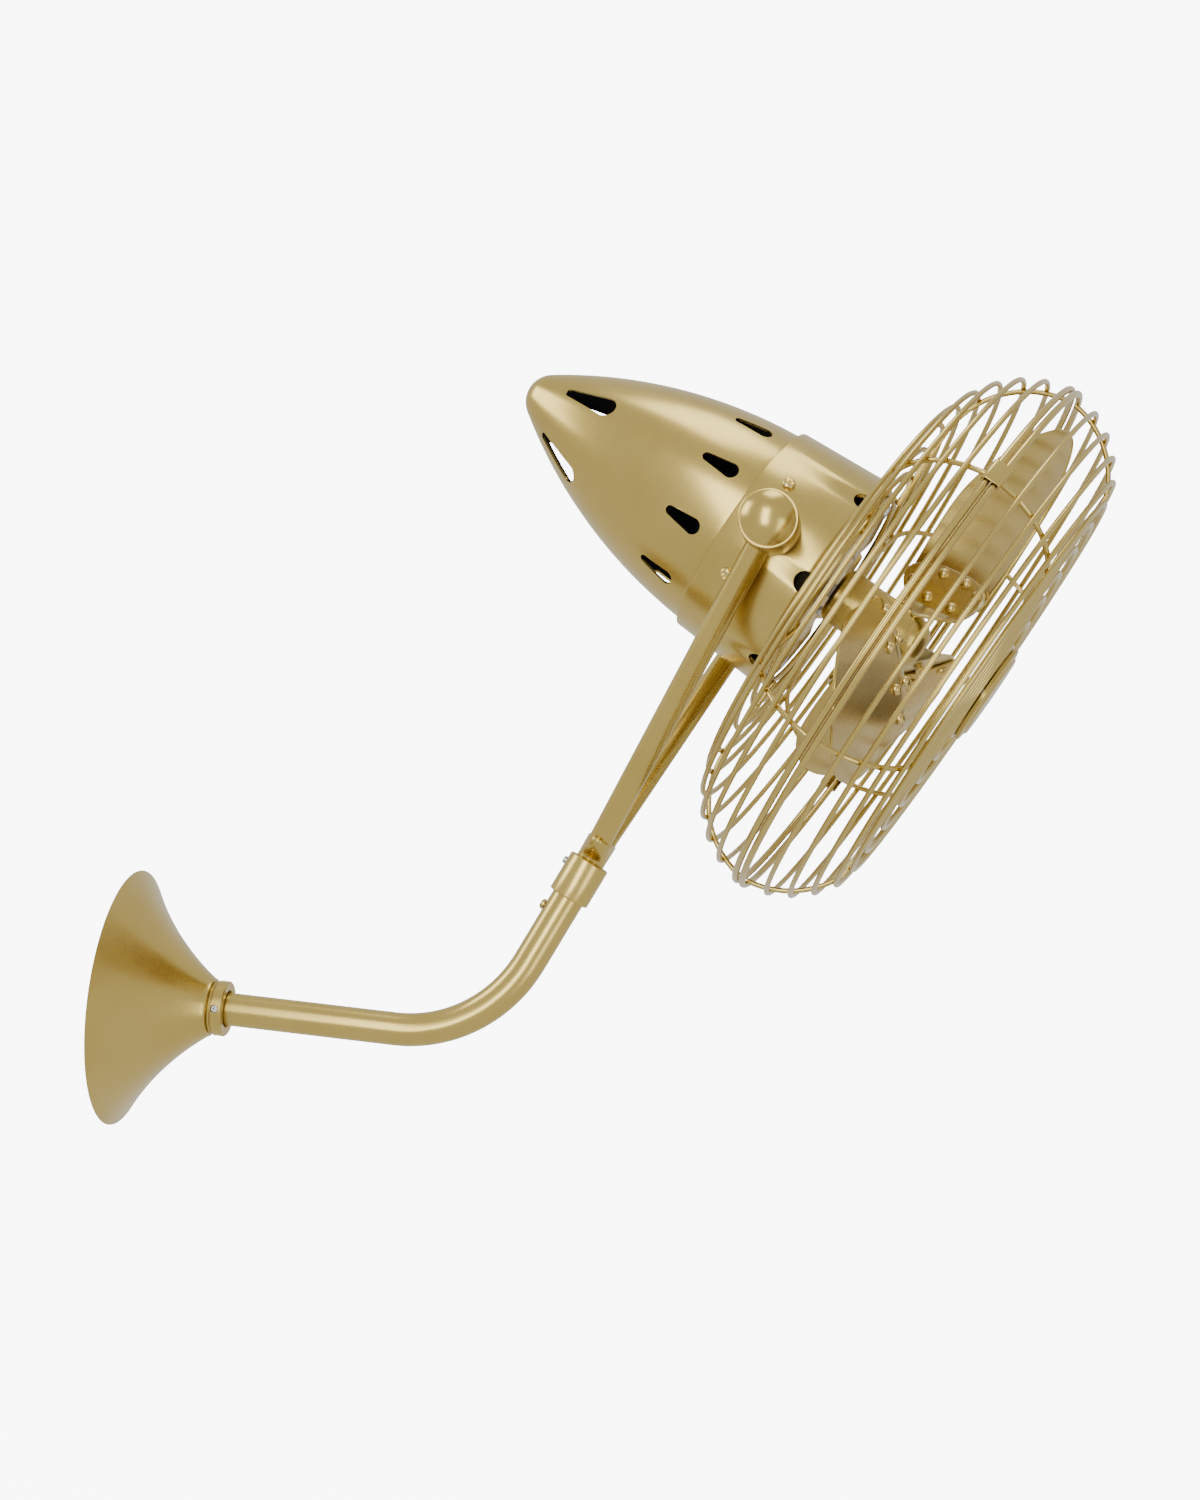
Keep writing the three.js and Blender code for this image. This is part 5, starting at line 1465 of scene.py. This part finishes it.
    def shell_screws(self) -> list[bpy.types.Object]:
        """Models the four screws that hold the shells together, two beside each knuckle.

        Returns:
            The screws.
        """
        screw = self.fasteners.pan_head("housing_screw", *self.screw)
        seat = self.front_radius(self.screw_height) + SEAT
        out = Matrix.Translation((seat, 0, self.screw_height)) @ Matrix.Rotation(math.pi / 2, 4, "Y")
        Bench.moved(screw, out)
        angles = [middle + sign * self.screw_offset for middle in (90, 270) for sign in (-1, 1)]
        return Bench.ring(screw, angles)

    def spacer(self, side: Side) -> bpy.types.Object:
        """Models the spacer between the housing and one knuckle.

        Args:
            side: the spacer's side.

        Returns:
            The spacer.
        """
        inner, outer = self.spacer_inner, self.knuckle_inner - GAP
        outline = [
            (self.bolt_hole, inner),
            (self.spacer_radius, inner),
            (self.spacer_radius, outer - self.spacer_break),
            (self.spacer_radius - self.spacer_break, outer),
            (self.bolt_hole, outer),
            (self.bolt_hole, inner),
        ]
        spacer = Bench.turned(f"pivot_collar_{side.name.lower()}", outline, steps=64)
        return Bench.moved(spacer, Matrix.Rotation(-side.value * math.pi / 2, 4, "X"))

    def build(self) -> None:
        """Builds and places the housing's pieces."""
        place, palette = self.layout.fan(), self.palette
        for shell, node in ((self.rear_shell(), "rear_shell"), (self.front_shell(), "front_shell")):
            palette.set_out(shell, place, palette.brass, "head", "satin_brass", node)
            # The shells' inner faces are painted black as painted shade.
            palette.paint_shade_inside(shell, place, palette.black)
        for i, screw in enumerate(self.shell_screws()):
            palette.set_out(screw, place, palette.polished, "head", "bright_brass", f"shell_screw_{i + 1}")
        for side in Side:
            node = f"pivot_spacer_{side.name.lower()}"
            tilted = self.layout.tilt()
            palette.set_out(self.spacer(side), tilted, palette.wire, "head", "satin_brass", node, lines=place)


# ---------------------------------------------------------------- rotor


@dataclass
class Rotor:
    """The hub and three cambered, twisted blades, each riveted to its iron."""

    layout: Layout
    palette: Palette
    fasteners: Fasteners
    barrel_radius: float = 18.6
    barrel_chamfer: float = 2.6
    barrel_rear: float = 46.0
    barrel_front: float = 66.0
    hub_radius: float = 18.0
    groove: Outline = ((-0.6, -1.0), (0.0, -0.3), (0.8, 0.0), (0.8, 0.8), (0.0, 1.2))
    hub_front: float = 97.0
    hub_nose: float = 16.0
    nose_power: float = 0.8
    shaft_hole: float = 5.3
    hole_stop: float = 8.0
    blend_start: float = 12.0
    blend_end: float = 26.0
    blades: int = 3
    tip_radius: float = 165.0
    root_radius: float = 36.0
    width: float = 104.0
    root_width: float = 84.0
    belly_haste: float = 1.6
    least_share: float = 0.02
    tip_start: float = 0.42
    tip_power: float = 2.1
    thickness: float = 1.5
    root_pitch: float = 40.0
    tip_pitch: float = 29.0
    camber: float = 7.0
    centre: float = 103.0
    iron_thickness: float = 2.4
    sheet_gap: float = 0.45
    sheet_break: float = 0.45
    iron_widths: tuple[float, ...] = (34, 40, 50, 62, 74, 82, 87, 88, 84, 70, 30)
    iron_bite: float = 4.0
    iron_tip: float = 54.0
    pad_length: float = 34.0
    pad_radius: float = 18.0
    pad_screw: tuple[float, float] = (4.0, 2.6)
    rivet_radius: float = 3.9
    rivet_height: float = 3.4
    rivets: tuple[tuple[float, float], ...] = ((37, -34), (49, -13), (49, 14), (44, 35), (31, -13), (31, 15))

    @property
    def iron_centre(self) -> float:
        """The height of the irons' middle on the hub."""
        return self.barrel_front + GAP + self.pad_length / 2

    @property
    def iron_lift(self) -> float:
        """How far the iron's middle lies behind the blade's."""
        return -(self.thickness + self.iron_thickness) / 2 - self.sheet_gap

    def point(self, radius: float, chord: float, lift: float) -> Vector:
        """Returns a point of the blade's curved surface.

        Args:
            radius: its distance from the fan's axis.
            chord: its place across the blade, from the middle.
            lift: its height off the surface.

        Returns:
            The point, for a blade that points along +X.
        """
        share = min(max((radius - self.root_radius) / (self.tip_radius - self.root_radius), 0), 1)
        pitch = math.radians(self.root_pitch + (self.tip_pitch - self.root_pitch) * share)
        bow = self.camber * (1 - (2 * chord / self.width) ** 2) - self.camber / 2 + lift
        lead = min(max((radius - self.blend_start) / (self.blend_end - self.blend_start), 0), 1)
        middle = self.iron_centre + (self.centre - self.iron_centre) * lead * lead * (3 - 2 * lead)
        axial = middle + chord * math.sin(pitch) + bow * math.cos(pitch)
        return Vector((radius, chord * math.cos(pitch) - bow * math.sin(pitch), axial))

    def blade_half_width(self, share: float) -> float:
        """Finds half the blade's width.

        Args:
            share: the share of the blade's length, from its root.

        Returns:
            Half the width there.
        """
        swell = math.sin(min(share * self.belly_haste, 1) * math.pi / 2)
        belly = self.root_width + (self.width - self.root_width) * swell
        tip = max(0.0, (share - self.tip_start) / (1 - self.tip_start))
        return belly / 2 * math.sqrt(max(1 - tip ** self.tip_power, self.least_share))

    def iron_half_width(self, share: float) -> float:
        """Finds half the iron's width.

        Args:
            share: the share of the iron's length, from the hub.

        Returns:
            Half the width there.
        """
        place = share * (len(self.iron_widths) - 1)
        step = min(int(place), len(self.iron_widths) - 2)
        low, high = self.iron_widths[step : step + 2]
        return (low + (high - low) * (place - step)) / 2

    def formed_sheet(
        self, name: str, surface: Callable[[float, float], Vector], along: int, across: int, thickness: float
    ) -> bpy.types.Object:
        """Forms a flat grid over a curved surface and thickens it.

        Args:
            name: the new object's name.
            surface: the point for two shares, along and across, from 0 to 1.
            along: grid steps along.
            across: grid steps across.
            thickness: the sheet's thickness.

        Returns:
            The sheet.
        """
        flat = bpy.ops.mesh.primitive_grid_add
        sheet = Bench.primitive(name, flat, x_subdivisions=along, y_subdivisions=across, size=1)
        for vertex in sheet.data.vertices:
            vertex.co = surface(vertex.co.x + 0.5, vertex.co.y + 0.5)
        Bench.apply(sheet, "SOLIDIFY", thickness=thickness, offset=0.0)
        Bench.eased(sheet, self.sheet_break, above=50)
        return sheet

    def blade(self) -> bpy.types.Object:
        """Models one blade, pointing along +X.

        Returns:
            The blade.
        """

        def surface(u: float, v: float) -> Vector:
            """Finds a point of the blade.

            Args:
                u: the share along it.
                v: the share across it.

            Returns:
                The point.
            """
            radius = self.root_radius + (self.tip_radius - self.root_radius) * u ** 0.85
            share = (radius - self.root_radius) / (self.tip_radius - self.root_radius)
            return self.point(radius, (2 * v - 1) * self.blade_half_width(share), 0)

        return self.formed_sheet("fan_blade", surface, along=56, across=36, thickness=self.thickness)

    def iron(self) -> bpy.types.Object:
        """Models one blade iron, cut round where it meets the hub.

        Returns:
            The iron.
        """
        start = self.hub_radius - self.iron_bite

        def surface(u: float, v: float) -> Vector:
            """Finds a point of the iron.

            Args:
                u: the share along it.
                v: the share across it.

            Returns:
                The point.
            """
            radius = start + (self.iron_tip - start) * u
            return self.point(radius, (2 * v - 1) * self.iron_half_width(u), self.iron_lift)

        plate = self.formed_sheet("fan_iron", surface, along=40, across=32, thickness=self.iron_thickness)
        space = Bench.primitive(
            "hub_space",
            bpy.ops.mesh.primitive_cylinder_add,
            vertices=96,
            radius=self.hub_radius + 0.1,
            depth=200,
            location=(0, 0, self.iron_centre),
        )
        Bench.cut(plate, [space])
        return plate

    def rivet_set(self) -> bpy.types.Object:
        """Models the rivets of one blade as one piece.

        Returns:
            The rivets.
        """
        grip = self.thickness + self.iron_thickness + self.sheet_gap
        heads = []
        for i, (radius, chord) in enumerate(self.rivets):
            rivet = self.fasteners.rivet(f"rivet_{i}", self.rivet_radius, self.rivet_height, grip)
            middle = self.point(radius, chord, self.iron_lift / 2)
            above = self.point(radius, chord, self.iron_lift / 2 + 1)
            heads.append(Bench.moved(rivet, Bench.aimed(middle, above - middle)))
        return Bench.joined("fan_rivets", heads)

    def hub(self) -> bpy.types.Object:
        """Models the hub: a short barrel, a groove, and a stout sleeve with a round nose.

        Returns:
            The hub.
        """
        nose = [
            (self.hub_radius * math.cos(a) ** self.nose_power, self.hub_front + self.hub_nose * math.sin(a))
            for a in (math.radians(6 * i) for i in range(15))
        ]
        outline = [
            (self.shaft_hole, self.barrel_rear),
            (self.barrel_radius - self.barrel_chamfer, self.barrel_rear),
            (self.barrel_radius, self.barrel_rear + self.barrel_chamfer),
            *[(self.hub_radius - inset, self.barrel_front + lift) for inset, lift in self.groove],
            *nose,
            (0, self.hub_front + self.hub_nose),
            (0, self.hub_front - self.hole_stop),
            (self.shaft_hole, self.hub_front - self.hole_stop),
            (self.shaft_hole, self.barrel_rear),
        ]
        return Bench.turned("fan_hub", outline, steps=80)

    def pad_screws(self) -> list[bpy.types.Object]:
        """Models the screws that hold the irons to the hub.

        Returns:
            The screws.
        """
        screw = self.fasteners.pan_head("iron_pan_screw", *self.pad_screw)
        seat = Matrix.Translation((self.pad_radius + SEAT, 0, self.iron_centre))
        out = seat @ Matrix.Rotation(math.pi / 2, 4, "Y")
        return Bench.ring(Bench.moved(screw, out), self.angles())

    def angles(self) -> list[float]:
        """Returns the blades' angles in degrees."""
        return [360 * i / self.blades for i in range(self.blades)]

    def build(self) -> None:
        """Builds and places the rotor's pieces."""
        place, palette = self.layout.fan(), self.palette
        palette.set_out(self.hub(), place, palette.brass, "rotor", "satin_brass", "rotor_hub")
        sets = [
            (Bench.ring(self.blade(), self.angles()), palette.brass, "blade"),
            (Bench.ring(self.iron(), self.angles()), palette.plate, "blade_iron"),
            (Bench.ring(self.rivet_set(), self.angles()), palette.polished, ""),
            (self.pad_screws(), palette.polished, "iron_screw"),
        ]
        for pieces, finish, node in sets:
            for i, piece in enumerate(pieces):
                nodes = [f"{node}_{i + 1}"] if node else []
                palette.set_out(piece, place, finish, "rotor", "satin_brass", *nodes, crease=FORMED_CREASE)


# ---------------------------------------------------------------- guard


@dataclass(frozen=True)
class Face:
    """The flat end of one bowl: its height over the seam, its rings, and how much it deepens."""

    height: float
    rings: int
    rise: float


@dataclass
class Guard:
    """The wire guard: two bowls of rings and ribs, held seam to seam by clips, with a bare badge in front."""

    layout: Layout
    palette: Palette
    seam: float = 100.7
    wire: float = 1.75
    seam_wire: float = 2.2
    seam_gap: float = 0.7
    shoulder_radius: float = 63.6
    shoulder_centre: float = 121.3
    setback: float = 5.5
    first_angle: float = 21.7
    angle_step: float = 13.3
    shoulder_rings: int = 6
    face_step: float = 18.0
    front_rings: int = 5
    rear_rings: int = 3
    front_height: float = 53.5
    front_rise: float = 2.5
    housing_face: float = 41.0
    weld: float = 0.5
    ribs: int = 6
    clip_angles: tuple[float, float] = (60.0, 240.0)
    clip_length: float = 16.0
    clip_wall: float = 1.0
    clip_gap: float = 0.4
    clip_break: float = 0.5
    clip_bend: float = 1.5
    clip_depth: float = 5.4
    badge_radius: float = 33.5
    badge_line: Outline = (
        (0.3, 0.0),
        (0.0, 0.3),
        (0.0, 2.3),
        (0.4, 2.75),
        (1.4, 3.0),
        (4.0, 3.0),
        (4.6, 3.3),
        (6.0, 4.6),
    )

    @property
    def wire_reach(self) -> float:
        """How far a ring reaches from its wire's middle in the solids, where wires are squarer."""
        return self.wire * WIRE_SQUARING

    @property
    def seam_radius(self) -> float:
        """The radius of the two rings at the seam."""
        return self.shoulder_centre + math.sqrt(self.shoulder_radius ** 2 - self.setback ** 2)

    @property
    def seam_offset(self) -> float:
        """How far each seam ring's middle lies from the seam's plane."""
        return self.seam_wire + self.seam_gap / 2

    @property
    def shoulder_end(self) -> float:
        """The height of the shoulder's end over the seam."""
        return self.shoulder_radius - self.setback

    @property
    def rear_rise(self) -> float:
        """How much the rear bowl deepens from its shoulder to the housing."""
        return self.seam - self.housing_face - GAP - self.wire_reach - self.shoulder_end

    def faces(self) -> tuple[Face, Face]:
        """Describes the two flat ends.

        Returns:
            The rear bowl's face and the front bowl's.
        """
        rear = Face(self.shoulder_end, self.rear_rings, self.rear_rise)
        return rear, Face(self.front_height, self.front_rings, self.front_rise)

    def ring_places(self, face: Face) -> list[tuple[float, float]]:
        """Sets out the rings of one bowl.

        Args:
            face: the bowl's face.

        Returns:
            The rings as (radius, height over the seam).
        """
        places = []
        for i in range(self.shoulder_rings):
            angle = math.radians(self.first_angle + i * self.angle_step)
            radius = self.shoulder_centre + self.shoulder_radius * math.cos(angle)
            places.append((radius, min(self.shoulder_radius * math.sin(angle) - self.setback, face.height)))
        last = places[-1][0]
        for i in range(1, face.rings + 1):
            places.append((last - i * self.face_step, face.height + face.rise * i / face.rings))
        return places

    def hoop(self, radius: float, height: float, wire: float) -> bpy.types.Object:
        """Models one ring of wire.

        Args:
            radius: the ring's radius.
            height: its height.
            wire: the wire's radius.

        Returns:
            The ring.
        """
        return Bench.primitive(
            "hoop",
            bpy.ops.mesh.primitive_torus_add,
            major_radius=radius,
            minor_radius=wire,
            major_segments=120,
            minor_segments=12,
            location=(0, 0, height),
        )

    def rib(self, face: Face) -> bpy.types.Object:
        """Models one rib along +X: up from the seam, round the shoulder, and in over the face.

        Args:
            face: the bowl's face.

        Returns:
            The rib.
        """
        inset = 2 * self.wire - self.weld
        path_radius = self.shoulder_radius - inset
        start = math.asin((self.seam_offset + self.setback) / path_radius)
        end = math.asin(min((face.height - inset + self.setback) / path_radius, 1))
        first = Vector((self.shoulder_centre + path_radius * math.cos(start), 0, self.seam_offset))
        rings = self.ring_places(face)
        corner = rings[self.shoulder_rings - 1][0]
        flat = self.shoulder_centre + path_radius * math.cos(end) - corner
        rib = Bench.primitive(
            "rib",
            bpy.ops.mesh.primitive_circle_add,
            vertices=12,
            radius=self.wire,
            fill_type="NGON",
            location=first,
            rotation=(0, -start, 0),
        )
        Bench.moved(rib, Matrix.Identity(4))
        bpy.ops.object.mode_set(mode="EDIT")
        bpy.ops.mesh.select_all(action="SELECT")
        centre = (self.shoulder_centre, 0, -self.setback)
        bpy.ops.mesh.spin(steps=24, angle=end - start, center=centre, axis=(0, 1, 0))
        if flat > 1:
            bpy.ops.mesh.extrude_region_move(TRANSFORM_OT_translate={"value": (-flat, 0, 0)})
        run = corner - rings[-1][0] + self.wire + min(flat, 0)
        bpy.ops.mesh.extrude_region_move(TRANSFORM_OT_translate={"value": (-run, 0, face.rise)})
        Bench.close()
        return rib

    def bowl(self, name: str, face: Face, front: bool) -> bpy.types.Object:
        """Models one bowl of the guard, its seam towards the other bowl.

        Args:
            name: the new object's name.
            face: its flat end.
            front: whether it opens towards the wall.

        Returns:
            The bowl.
        """
        hoops = [self.hoop(radius, height, self.wire) for radius, height in self.ring_places(face)]
        hoops.append(self.hoop(self.seam_radius, self.seam_offset, self.seam_wire))
        ribs = Bench.ring(self.rib(face), [360 * i / self.ribs for i in range(self.ribs)])
        bowl = Bench.joined(name, [*hoops, *ribs])
        if not front:
            Bench.moved(bowl, Matrix.Rotation(math.pi, 4, "X"))
        return Bench.moved(bowl, Matrix.Translation((0, 0, self.seam)))

    def clip(self) -> bpy.types.Object:
        """Models one clip at +X: a short folded strip over both seam rings.

        Returns:
            The clip.
        """
        reach = self.seam_offset + self.seam_wire + self.clip_gap
        outer = self.seam_radius + self.seam_wire + self.clip_gap
        wall, back = self.clip_wall, outer - self.clip_depth + self.clip_wall
        bend = self.clip_bend
        fold = arc((outer - bend, reach - bend), bend + wall, 90, 0, 6)
        under = arc((outer - bend, reach - bend), bend, 0, 90, 6)
        upper = [(back, reach + wall), *fold]
        lower = [(x, -z) for x, z in reversed(upper)]
        inner = [(x, -z) for x, z in reversed([*under, (back, reach)])]
        points = [*upper, *lower, *inner, *under, (back, reach)]
        half = self.clip_length / 2
        clip = Bench.drawn("clip", [(x, -half, z) for x, z in [*points, points[0]]])
        bpy.ops.mesh.edge_face_add()
        bpy.ops.mesh.extrude_region_move(TRANSFORM_OT_translate={"value": (0, 2 * half, 0)})
        bpy.ops.mesh.select_all(action="SELECT")
        bpy.ops.mesh.normals_make_consistent(inside=False)
        bpy.ops.object.mode_set(mode="OBJECT")
        Bench.eased(clip, self.clip_break, steps=3, above=40)
        return Bench.moved(clip, Matrix.Translation((0, 0, self.seam)))

    def badge(self) -> bpy.types.Object:
        """Models the badge in the guard's middle: a bare stepped plate.

        Returns:
            The badge.
        """
        base = self.seam + self.front_height + self.front_rise + self.wire_reach + GAP
        edge = [(self.badge_radius - inset, base + lift) for inset, lift in self.badge_line]
        outline = [(0, base), *edge, (0, edge[-1][1])]
        return Bench.turned("guard_plate", outline, steps=112)

    def build(self) -> None:
        """Builds and places the guard's pieces."""
        place = self.layout.fan()
        rear, front = self.faces()
        pieces = [
            (self.bowl("guard_bowl_rear", rear, False), self.palette.wire, "guard_rear"),
            (self.bowl("guard_bowl_front", front, True), self.palette.wire, "guard_front"),
            (self.badge(), self.palette.brass, "guard_badge"),
        ]
        for piece, finish, node in pieces:
            self.palette.set_out(piece, place, finish, "head", "satin_brass", node, crease=FORMED_CREASE)
        wire = self.palette.wire
        for i, clip in enumerate(Bench.ring(self.clip(), self.clip_angles)):
            node = f"guard_clip_{i + 1}"
            self.palette.set_out(clip, place, wire, "head", "bright_brass", node, crease=FORMED_CREASE)


# ---------------------------------------------------------------- studio


@dataclass(frozen=True)
class Lamp:
    """A soft box: where it stands, what it is aimed at, its size and its power."""

    name: str
    place: Point
    aim: Point
    size: tuple[float, float]
    power: float


@dataclass
class Studio:
    """The floor, the soft lights and the camera."""

    target: Point = (0.2888, 0.0, 0.1906)
    azimuth: float = 7.83
    elevation: float = -3.37
    roll: float = 6.32
    distance: float = 1.6816
    focal_pixels: float = 2642.2
    picture_height: float = 1500.0
    sensor: float = 36.0
    floor_height: float = -0.62
    floor_radius: float = 7.0
    bend_radius: float = 2.5
    wall_height: float = 9.0
    floor_glow: float = 8.0
    sky: tuple[float, float, float] = (0.95, 0.94, 0.92)
    sky_strength: float = 0.95
    lamps: tuple[Lamp, ...] = (
        Lamp("top", (0.45, -0.1, 2.7), (0.35, 0.0, 0.3), (1.3, 1.1), 17.0),
        Lamp("left", (-2.1, -0.4, 1.5), (0.35, 0.0, 0.25), (1.1, 1.4), 22.0),
        Lamp("front", (-0.05, -2.7, 0.7), (0.42, 0.0, 0.3), (0.9, 2.4), 38.0),
        Lamp("low", (1.9, -1.7, -0.3), (0.45, 0.0, 0.25), (0.8, 1.6), 10.0),
    )

    def floor(self) -> None:
        """Lays a plain pale floor that bends up into a round backdrop, seen by the camera alone."""
        inner = self.floor_radius - self.bend_radius
        bend = arc((inner, self.floor_height + self.bend_radius), self.bend_radius, -90, 0, 16)
        outline = [(0, self.floor_height), *bend, (self.floor_radius, self.wall_height)]
        floor = Bench.turned("studio_floor", outline, steps=96)
        Bench.smoothed(floor, 60)
        floor.visible_glossy = floor.visible_diffuse = floor.visible_shadow = False
        recipe = Recipe(
            "pale_floor",
            Roughness=0.9,
            Base_Color=(0.8, 0.8, 0.8, 1),
            Emission_Color=(1, 1, 1, 1),
            Emission_Strength=self.floor_glow,
        )
        floor.data.materials.append(recipe.material)

    def lights(self) -> None:
        """Hangs the soft boxes and sets an even pale surround."""
        for lamp in self.lamps:
            name = f"{lamp.name}_soft_box"
            light = Bench.primitive(name, bpy.ops.object.light_add, type="AREA", location=lamp.place)
            light.data.shape = "RECTANGLE"
            light.data.size, light.data.size_y = lamp.size
            light.data.energy = lamp.power
            light.rotation_euler = (Vector(lamp.aim) - Vector(lamp.place)).to_track_quat("-Z", "Y").to_euler()
        world = bpy.data.worlds.new("pale_surround")
        world.use_nodes = True
        background = world.node_tree.nodes["Background"]
        background.inputs["Color"].default_value = (*self.sky, 1)
        background.inputs["Strength"].default_value = self.sky_strength
        bpy.context.scene.world = world

    def camera(self) -> None:
        """Sets the camera where the photograph was taken from."""
        azimuth, elevation, roll = (math.radians(a) for a in (self.azimuth, self.elevation, self.roll))
        away = Vector((
            math.sin(azimuth) * math.cos(elevation),
            -math.cos(azimuth) * math.cos(elevation),
            math.sin(elevation),
        ))
        level = Vector((math.cos(azimuth), math.sin(azimuth), 0))
        upward = away.cross(level)
        right = level * math.cos(roll) + upward * math.sin(roll)
        up = upward * math.cos(roll) - level * math.sin(roll)
        place = Vector(self.target) + away * self.distance
        camera = Bench.primitive("photo_camera", bpy.ops.object.camera_add)
        axes = Matrix((right, up, away)).transposed().to_4x4()
        camera.matrix_world = Matrix.Translation(place) @ axes
        camera.data.sensor_width = self.sensor
        camera.data.lens = self.focal_pixels * self.sensor / self.picture_height
        camera.data.clip_end = 100.0
        bpy.context.scene.camera = camera

    def build(self) -> None:
        """Builds the studio."""
        self.floor()
        self.lights()
        self.camera()


def main() -> None:
    """Builds the studio and the fan, one sub-assembly after another."""
    logging.basicConfig(level=logging.INFO, format="%(message)s")
    layout = Layout()
    palette = Palette(layout)
    fasteners = Fasteners()
    Studio().build()
    palette.dress_frame()
    WallFitting(layout, palette, fasteners).build()
    Arm(layout, palette, fasteners).build()
    Yoke(layout, palette).build()
    Housing(layout, palette, fasteners).build()
    Rotor(layout, palette, fasteners).build()
    Guard(layout, palette).build()


if __name__ == "__main__":
    main()
